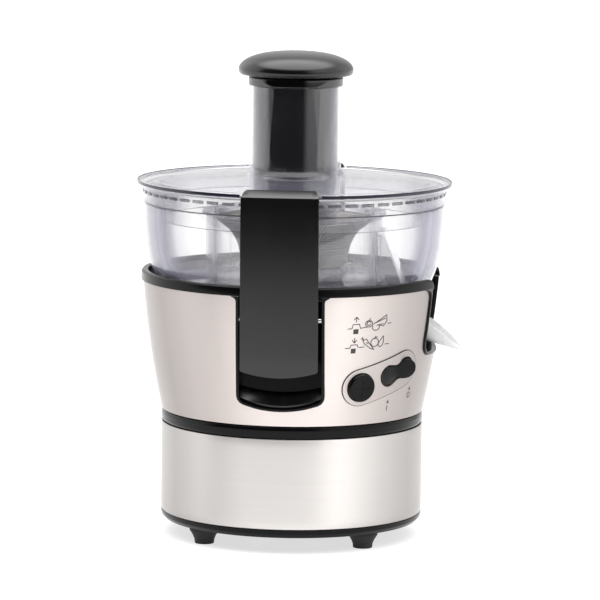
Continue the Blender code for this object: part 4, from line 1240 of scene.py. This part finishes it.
arrow = [(-1.0, 1.6), (1.0, 1.6), (0.0, 4.0)]
markFills = {
    "upper": [(-10.2, -2.0), (-10.2, -5.0), (-7.0, -4.9), (-7.0, -1.9)],
    "lower": [(-10.8, -2.2), (-10.8, -5.2), (-7.8, -5.1), (-7.8, -2.1)],
    "on": arrow,
    "off": arrow,
}


def addSlab(bm, s, place, outline):
    # a thin slab that lies on the shell at this angle and height
    angle, middle = place
    layers = []
    for lift in (s["base"], s["lift"]):
        layer = []
        for x, y in outline:
            z = middle + s["tall"] * y / 1000
            radius = shellRadius(z)
            turn = math.degrees(s["wide"] * x / 1000 / radius)
            layer.append(bm.verts.new(around(angle + turn, radius + lift, z)))
        layers.append(layer)
    bridge(bm, layers)
    for layer in layers:
        bm.faces.new(layer)


def addStroke(bm, s, place, start, end):
    # short pieces, so that a long stroke follows the curved shell
    start, end = Vector(start), Vector(end)
    run = (end - start).normalized()
    side = Vector((-run.y, run.x)) * s["line"] * 0.5
    start, end = start - run * s["line"] * 0.4, end + run * s["line"] * 0.4
    pieces = math.ceil((end - start).length / s["piece"])
    for piece in range(pieces):
        near, far = start.lerp(end, piece / pieces), start.lerp(end, (piece + 1) / pieces)
        addSlab(bm, s, place, [near - side, far - side, far + side, near + side])


def makeMarks(s):
    bm = bmesh.new()
    for group, place in s["places"].items():
        for stroke in markStrokes[group]:
            for start, end in zip(stroke, stroke[1:]):
                addStroke(bm, s, place, start, end)
        addSlab(bm, s, place, markFills[group])
    use(toObject("printedMarks", bm, None, 1e-9), "printedInk", root, "satin_black_plastic")


makeButton(controlSettings)
makeRocker(controlSettings)
makeMarks(markSettings)
print("stage: controls")


# clamps

clampSettings = {
    "half": 0.0290, "crown": 0.0010, "bottom": 0.1356, "top": 0.2756, "sag": 5.4, "corner": 0.0074,
    "edge": 0.0007, "columns": 28, "pivotR": 0.1060, "pivotZ": 0.1780, "lugOut": 0.0230, "lugHalf": 0.0030,
    "lugR": 0.0050, "pinR": 0.0020, "pinHalf": 0.0327}


def clampSilhouette(s):
    # the strap seen from in front, with its lower edge bowed like the pocket's
    half, low = s["half"], s["bottom"]
    foot = low + s["sag"] * half * half
    shape = [(half, s["top"], s["corner"]), (-half, s["top"], s["corner"]), (-half, foot, 0.002)]
    for step in range(1, 16):
        x = -half + 2 * half * step / 16
        shape.append((x, low + s["sag"] * x * x))
    shape.append((half, foot, 0.002))
    return rounded(shape, 8)


def makeClamp(name, angle, body, node):
    s = clampSettings
    # the strap's side view, from the hook down the outside and back up the inside
    section = rounded([
        (0.1117, 0.2752, 0.0004), (0.1237, 0.2704, 0.0007), (0.1239, 0.2550), (0.1236, 0.2400),
        (0.1228, 0.2225), (0.1218, 0.2050), (0.1207, 0.1875), (0.1196, 0.1700), (0.1184, 0.1520),
        (0.1170, 0.1320), (0.1142, 0.1320), (0.1154, 0.1520), (0.1166, 0.1700), (0.1177, 0.1875),
        (0.1187, 0.2050), (0.1196, 0.2225), (0.1204, 0.2400), (0.1209, 0.2701, 0.0015), (0.1117, 0.2716)])
    rows = []
    reach = s["half"] + 0.001
    for column in range(s["columns"] + 1):
        x = reach * (2 * column / s["columns"] - 1)
        inset = s["crown"] * (x / s["half"]) ** 2
        rows.append([(x, inset - r, z) for r, z in section])
    strap = loft(name, rows, turnedBy(angle))
    silhouette = prism("cutter", clampSilhouette(s), 0.100, 0.130, standing(angle))
    carve(strap, "INTERSECT", silhouette)
    discard(silhouette)
    soften(strap, s["edge"], 3, 45)
    # lugs and bore lie along the pin
    along = Matrix(((0, 0, 1, 0), (-1, 0, 0, -s["pivotR"]), (0, 1, 0, s["pivotZ"]), (0, 0, 0, 1)))
    pivot = turnedBy(angle) @ along
    outline = [(0.0120, -0.0055), (0.0120, 0.0055)] + arcLine(0, 0, s["lugR"], s["lugR"], 90, 270, 16)
    lugs = []
    for x in (-s["lugOut"], s["lugOut"]):
        lugs.append(prism("lug", outline, x - s["lugHalf"], x + s["lugHalf"], pivot))
    carve(strap, "UNION", *lugs)
    discard(*lugs)
    cut(strap, prism("bore", circle(0, 0, s["pinR"] + 0.0002, 32), -0.03, 0.03, pivot))
    use(strap, "satinBlack", body, "satin_black_plastic", node)

    radius, end = s["pinR"], s["pinHalf"]
    profile = [
        (0, end), (0.0013, end - 0.0001), (radius, end - 0.0006, 0.0003), (radius, 0.0006 - end, 0.0003),
        (0.0013, 0.0001 - end), (0, -end)]
    pin = lathe(name + "Pin", profile, 32, 3, True, pivot)
    use(pin, "brightSteel", root, "bright_steel", node + "_pin")


makeClamp("frontClamp", 0, "front_clamp", "front_clamp")
makeClamp("rearClamp", 180, "rear_clamp", "rear_clamp")
print("stage: clamps")


# bowl, collector, duct and spout

bowlSettings = {
    "low": 0.1910, "floor": 0.1932, "top": 0.2658, "holeNear": 0.0664, "holeFar": 0.0889, "holeHalf": 0.0204}


def makeBowl(s):
    low, floor, top = s["low"], s["floor"], s["top"]
    profile = [
        (0.1134, top, 0.0004), (0.1134, 0.2548), (0.1142, 0.2538, 0.0006), (0.1141, 0.2450), (0.1135, 0.2340),
        (0.1126, 0.2230), (0.1110, 0.2130), (0.1084, 0.2035), (0.1056, 0.1960), (0.1015, low, 0.0030),
        (0.0175, low, 0.0004), (0.0175, 0.2008, 0.0004), (0.0192, 0.2008, 0.0004), (0.0192, floor, 0.001),
        (0.1000, floor, 0.0026), (0.1036, 0.1975), (0.1063, 0.2045), (0.1088, 0.2137), (0.1104, 0.2235),
        (0.1114, 0.2345), (0.1119, 0.2450), (0.1119, top, 0.0004)]
    bowl = lathe("pulpBowl", profile, 192)
    half = s["holeHalf"]
    cut(bowl, box("cutter", (s["holeNear"], -half, 0.180), (s["holeFar"], half, floor + 0.0004)))
    use(bowl, "clearPlastic", root, "clear_plastic", "pulp_bowl")


collectorSettings = {
    "radius": 0.0675, "low": 0.1938, "high": 0.2440, "window": 0.0175, "windowTop": 0.2310,
    "ribAngles": (57.0, 39.6, -57.0, -39.6)}


def makeCollector(s):
    low, high, radius, half = s["low"], s["high"], s["radius"], s["window"]
    profile = [
        (radius - 0.0004, high, 0.0004), (radius, high - 0.010), (radius, low, 0.0015), (0.0212, low, 0.0004),
        (0.0212, 0.1990, 0.0004), (0.0230, 0.1990, 0.0004), (0.0230, low + 0.002, 0.001),
        (radius - 0.0020, low + 0.002, 0.0015), (radius - 0.0018, high, 0.0004)]
    collector = lathe("juiceCollector", profile, 160)
    cut(collector, box("cutter", (0.050, -half, low + 0.002), (0.080, half, s["windowTop"])))
    ribs = []
    for angle in s["ribAngles"]:
        ribs.append(box("rib", (-0.0010, -0.0686, 0.1960), (0.0010, -0.0672, 0.2405), turnedBy(angle)))
    joined(collector, *ribs)
    use(collector, "collectorPlastic", root, "clear_plastic", "juice_collector")


def between(stations, share):
    # a smooth curve through rows of numbers
    spot = share * (len(stations) - 1)
    index = min(int(spot), len(stations) - 2)
    t = spot - index
    rows = [stations[max(0, min(len(stations) - 1, index + k))] for k in (-1, 0, 1, 2)]
    made = []
    for a, b, c, d in zip(*rows):
        bends = (2 * b, c - a, 2 * a - 5 * b + 4 * c - d, 3 * b - a - 3 * c + d)
        made.append(0.5 * sum(bend * t ** power for power, bend in enumerate(bends)))
    return made


ductSettings = {"wall": 0.0016, "corner": 0.0022, "clear": 0.0678}


def makeDuct(s):
    # low x, low z, high x, high z and half width at each station, from the collector down to the spout
    stations = [
        (0.0600, 0.1947, 0.0600, 0.2360, 0.0200), (0.0680, 0.1945, 0.0700, 0.2345, 0.0200),
        (0.0700, 0.1880, 0.0780, 0.2140, 0.0200), (0.0745, 0.1780, 0.0860, 0.1935, 0.0200),
        (0.0820, 0.1660, 0.0955, 0.1760, 0.0170), (0.0920, 0.1575, 0.1020, 0.1675, 0.0140)]
    bm = bmesh.new()
    shells = []
    for inset in (0.0, s["wall"]):
        loops = []
        for lowX, lowZ, highX, highZ, half in stations:
            low, high = Vector((lowX, lowZ)), Vector((highX, highZ))
            rise = (high - low).normalized()
            low = low + rise * inset
            tall, wide = (high - low).length - inset, half - inset
            flat = ((-wide, 0.0), (wide, 0.0), (wide, tall), (-wide, tall))
            outline = rounded([(u, v, s["corner"]) for u, v in flat])
            loops.append([bm.verts.new((low.x + rise.x * v, u, low.y + rise.y * v)) for u, v in outline])
        bridge(bm, loops)
        shells.append(loops)
    for end in (0, -1):
        bridge(bm, [shells[0][end], shells[1][end]])
    duct = toObject("juiceDuct", bm)
    cut(duct, prism("cutter", circle(0, 0, s["clear"], 96), 0.180, 0.250))
    use(duct, "whitePlastic", root, "clear_plastic", "juice_duct")


spoutSettings = {"wall": 0.0012, "rows": 48, "crease": 0.60, "belly": 9}


def makeSpout(s):
    # x, bottom, top and half width at each station out to the tip
    stations = [
        (0.0950, 0.1542, 0.1690, 0.0197), (0.1040, 0.1508, 0.1657, 0.0190), (0.1120, 0.1483, 0.1607, 0.0172),
        (0.1200, 0.1462, 0.1541, 0.0143), (0.1262, 0.1446, 0.1482, 0.0096), (0.1302, 0.1437, 0.1449, 0.0036)]
    rows = []
    for number in range(s["rows"] + 1):
        x, bottom, top, half = between(stations, number / s["rows"])
        depth = top - bottom
        ring = []
        for inset in (0.0, s["wall"]):
            deep = max(0.0003, depth - inset)
            wide = half - inset
            low, crease = wide * 0.95, s["crease"]
            side = [(-wide, top), (-wide * 0.985, top - deep * 0.3), (-low, top - deep * crease)]
            belly = []
            for step in range(1, s["belly"]):
                turn = math.pi * step / s["belly"]
                belly.append((-low * math.cos(turn), top - deep * (crease + (1 - crease) * math.sin(turn))))
            line = side + belly + [(-u, v) for u, v in reversed(side)]
            ring.append([(x, u, v) for u, v in line])
        rows.append(ring[0] + ring[1][::-1])
    spout = loft("juiceSpout", rows)
    smooth(spout, 55)
    use(spout, "milkyPlastic", root, "frosted_plastic", "juice_spout")


makeBowl(bowlSettings)
makeCollector(collectorSettings)
makeDuct(ductSettings)
makeSpout(spoutSettings)
print("stage: bowl and spout")


# sieve basket and grater

sieveSettings = {
    "curve": [
        (0.0612, 0.2432), (0.0550, 0.2385), (0.0490, 0.2335), (0.0436, 0.2250), (0.0410, 0.2156),
        (0.0402, 0.2090)],
    "sheet": 0.0005, "around": 132, "rows": 22, "open": 0.52}


def makeSieve(s):
    bm = bmesh.new()
    rows = []
    count = s["around"]
    for row in range(s["rows"] + 1):
        radius, z = between(s["curve"], row / s["rows"])
        shift = 180 / count * (row % 2)
        rows.append([bm.verts.new(around(360 * k / count + shift, radius, z)) for k in range(count)])
    bridge(bm, rows)
    sheet = toObject("sieveBasket", bm)
    perforatedSheet.grow(sheet, "sieveSteel", {"Open": s["open"]})
    thicken(sheet, s["sheet"])
    profile = [
        (0.0404, 0.2090), (0.0404, 0.2082), (0.0358, 0.2082), (0.0358, 0.2088), (0.0398, 0.2088),
        (0.0398, 0.2094)]
    joined(sheet, lathe("seat", profile, 96))
    use(sheet, "sieveSteel", "rotor", "bright_steel", "filter_basket")


def makeBasketFrame():
    profile = [
        (0.0700, 0.2482, 0.0003), (0.0705, 0.2460, 0.0003), (0.0628, 0.2450, 0.0008),
        (0.0615, 0.2434, 0.0002), (0.0604, 0.2436, 0.0002), (0.0612, 0.2470, 0.0010)]
    use(lathe("basketRim", profile, 144), "clearPlastic", "rotor", "clear_plastic", "basket_rim")
    profile = [
        (0.0408, 0.2079), (0.0450, 0.2020, 0.0003), (0.0432, 0.2020), (0.0396, 0.2062), (0.0165, 0.2062),
        (0.0165, 0.2030), (0.0148, 0.2030), (0.0148, 0.2079)]
    use(lathe("basketHub", profile, 96), "clearPlastic", "rotor", "clear_plastic", "basket_hub")


graterSettings = {
    "teeth": 110, "inner": 0.0090, "outer": 0.0345, "height": 0.2093, "turn": 2.39996,
    "toothLong": 0.0008, "toothWide": 0.0005, "toothTall": 0.0013, "lean": 0.0003}


def makeGrater(s):
    profile = [
        (0, 0.2150), (0.0030, 0.2149), (0.0045, 0.2142, 0.0008), (0.0060, 0.2112, 0.001),
        (0.0070, 0.2098, 0.001), (0.0357, 0.2094, 0.0003), (0.0357, 0.2082), (0, 0.2082)]
    grater = lathe("graterDisc", profile, 96, solid=True)
    # one leaning tooth at the world's origin, planted over the disc by the golden angle
    long, wide = s["toothLong"], s["toothWide"]
    bm = bmesh.new()
    base = [bm.verts.new((x - axisX, y, 0)) for x, y in ((long, 0), (0, wide), (-long, 0), (0, -wide))]
    tip = bm.verts.new((s["lean"] - axisX, 0, s["toothTall"]))
    for number in range(4):
        bm.faces.new((base[number], base[(number + 1) % 4], tip))
    bm.faces.new(base[::-1])
    teeth = toObject("teeth", bm)
    spiralOfCopies.grow(teeth, "brightSteel", {
        "Count": s["teeth"], "Inner": s["inner"], "Outer": s["outer"], "Turn": s["turn"],
        "Height": s["height"]})
    joined(grater, teeth)
    use(grater, "brightSteel", "rotor", "bright_steel", "grater_disc")


makeSieve(sieveSettings)
makeBasketFrame()
makeGrater(graterSettings)
print("stage: basket")


# lid and pusher

lidSettings = {
    "chuteR": 0.0350, "boreR": 0.0325, "chuteTop": 0.3440, "chuteLow": 0.2240, "skirtR": 0.1154,
    "notchHalf": 0.0305, "ribs": 54, "ribLow": 0.2622, "ribHigh": 0.2646, "ribLong": 4.9, "ribProud": 0.0006}


def makeLid(s):
    chute, bore, top, skirt = s["chuteR"], s["boreR"], s["chuteTop"], s["skirtR"]
    profile = [
        (chute, top, 0.0006), (chute, 0.2810, 0.002), (0.0380, 0.2770, 0.002), (0.0540, 0.2763),
        (0.0700, 0.2752), (0.0860, 0.2738), (0.1010, 0.2722), (0.1046, 0.2716, 0.002), (0.1088, 0.2713),
        (0.1098, 0.2718, 0.0004), (0.1108, 0.2713), (0.1138, 0.2713), (0.1146, 0.2718, 0.0004),
        (skirt, 0.2713), (0.1190, 0.2713, 0.001), (0.1202, 0.2720, 0.0005), (0.1203, 0.2694, 0.0006),
        (0.1160, 0.2684, 0.001), (skirt, 0.2670), (skirt, 0.2560), (0.1157, 0.2550, 0.0003),
        (skirt, 0.2546, 0.0003), (0.1140, 0.2546, 0.0003), (0.1138, 0.2560), (0.1138, 0.2684, 0.0006),
        (0.1034, 0.2689, 0.0006), (0.1029, 0.2415, 0.0004), (0.1013, 0.2415, 0.0004),
        (0.1010, 0.2699, 0.0012), (0.0860, 0.2716), (0.0700, 0.2730), (0.0540, 0.2741),
        (0.0382, 0.2747, 0.002), (0.0347, 0.2715, 0.001), (0.0343, s["chuteLow"], 0.0004),
        (bore, s["chuteLow"], 0.0004), (bore, top, 0.0006)]
    lid = lathe("clearLid", profile, 224)
    # a notch for each clamp's hook
    half = s["notchHalf"]
    for angle in (0, 180):
        cut(lid, box("cutter", (-half, -0.140, 0.2698), (half, -0.1095, 0.290), turnedBy(angle)))
    use(lid, "lidPlastic", root, "clear_plastic", "lid")

    # short grip ribs round the skirt, clear plastic tinted near black as painted shade
    low, high, edge = s["ribLow"], s["ribHigh"], 0.0003
    rows = []
    for step in range(5):
        angle = s["ribLong"] * (step / 4 - 0.5)
        out = skirt + s["ribProud"] * (0.6 if step in (0, 4) else 1.0)
        section = ((skirt - edge, low), (out, low + edge), (out, high - edge), (skirt - edge, high))
        rows.append([around(angle, radius, z) for radius, z in section])
    ribs = loft("lidRibs", rows)
    ringCopies(ribs, "ribPlastic", s["ribs"], 0)
    use(ribs, "ribPlastic", root, "clear_plastic")

    profile = [(radius, z, 0.0004) for radius, z in (
        (0.1135, 0.2679), (0.1135, 0.2664), (0.1112, 0.2664), (0.1112, 0.2679))]
    use(lathe("lidGasket", profile, 160), "greySilicone", root, "grey_rubber", "lid_gasket")


pusherSettings = {
    "radius": 0.0316, "low": 0.2265, "shoulder": 0.3443, "capR": 0.0438, "capLow": 0.3560, "top": 0.3700}


def makePusher(s):
    outer, low, shoulder = s["radius"], s["low"], s["shoulder"]
    profile = [
        (0, low + 0.0025), (outer - 0.0028, low + 0.0025, 0.001), (outer - 0.0024, 0.3510),
        (0.0345, 0.3514, 0.0005), (0.0362, 0.3500, 0.0008), (0.0362, shoulder, 0.0006), (outer, shoulder),
        (outer, 0.3000), (outer - 0.0004, low + 0.0015, 0.0008), (outer - 0.0022, low, 0.0008),
        (0.0240, low), (0.0230, low + 0.0007), (0, low + 0.0007)]
    body = lathe("pusherBody", profile, 128, solid=True)
    use(body, "polishedBlack", "pusher", "gloss_black_plastic", "pusher_body")

    # the mushroom cap: a flattened dome over a stem that sits inside the body
    radius, low, steps = s["capR"], s["capLow"], 14
    profile = []
    for step in range(steps + 1):
        turn = math.radians(90 * step / steps)
        profile.append((radius * math.sin(turn) ** 0.8, low + (s["top"] - low) * math.cos(turn)))
    profile += [
        (radius - 0.0004, 0.3538), (radius - 0.0018, 0.3522, 0.0008), (0.0400, 0.3519), (0.0270, 0.3519),
        (0.0270, 0.3480), (0.0250, 0.3480), (0.0250, 0.3600, 0.002), (0, 0.3625)]
    cap = lathe("pusherCap", profile, 128, solid=True)
    use(cap, "satinBlack", "pusher", "gloss_black_plastic", "pusher_cap")


makeLid(lidSettings)
makePusher(pusherSettings)
print("stage: lid and pusher")


# the hidden works keep their CAD shape and get a worked finish

worksFinish = {
    "brightSteel": ("motor_shaft", "upper_bearing", "lower_bearing", "left_motor_bolt", "right_motor_bolt"),
    "laminatedIron": ("armature_core", "motor_stator"),
    "enamelledCopper": ("armature_winding", "front_field_coil", "rear_field_coil"),
    "turnedBrass": ("commutator", "left_brush_holder", "right_brush_holder"),
    "castAlloy": ("upper_bracket", "lower_bracket"),
    "pressedCarbon": ("left_carbon_brush", "right_carbon_brush"),
    "blackRubber": ("motor_damper", "shaft_seal"),
    "deckBlack": ("lower_housing", "cooling_fan", "drive_coupling", "front_clamp_switch", "rear_clamp_switch",
                  "speed_switch", "power_switch"),
    "brownPlastic": ("terminal_block",),
}

for look, names in worksFinish.items():
    for name in names:
        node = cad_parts[name]
        node.data.materials.clear()
        node.data.materials.append(finish[look])
print("stage: hidden works")

bpy.context.view_layer.update()
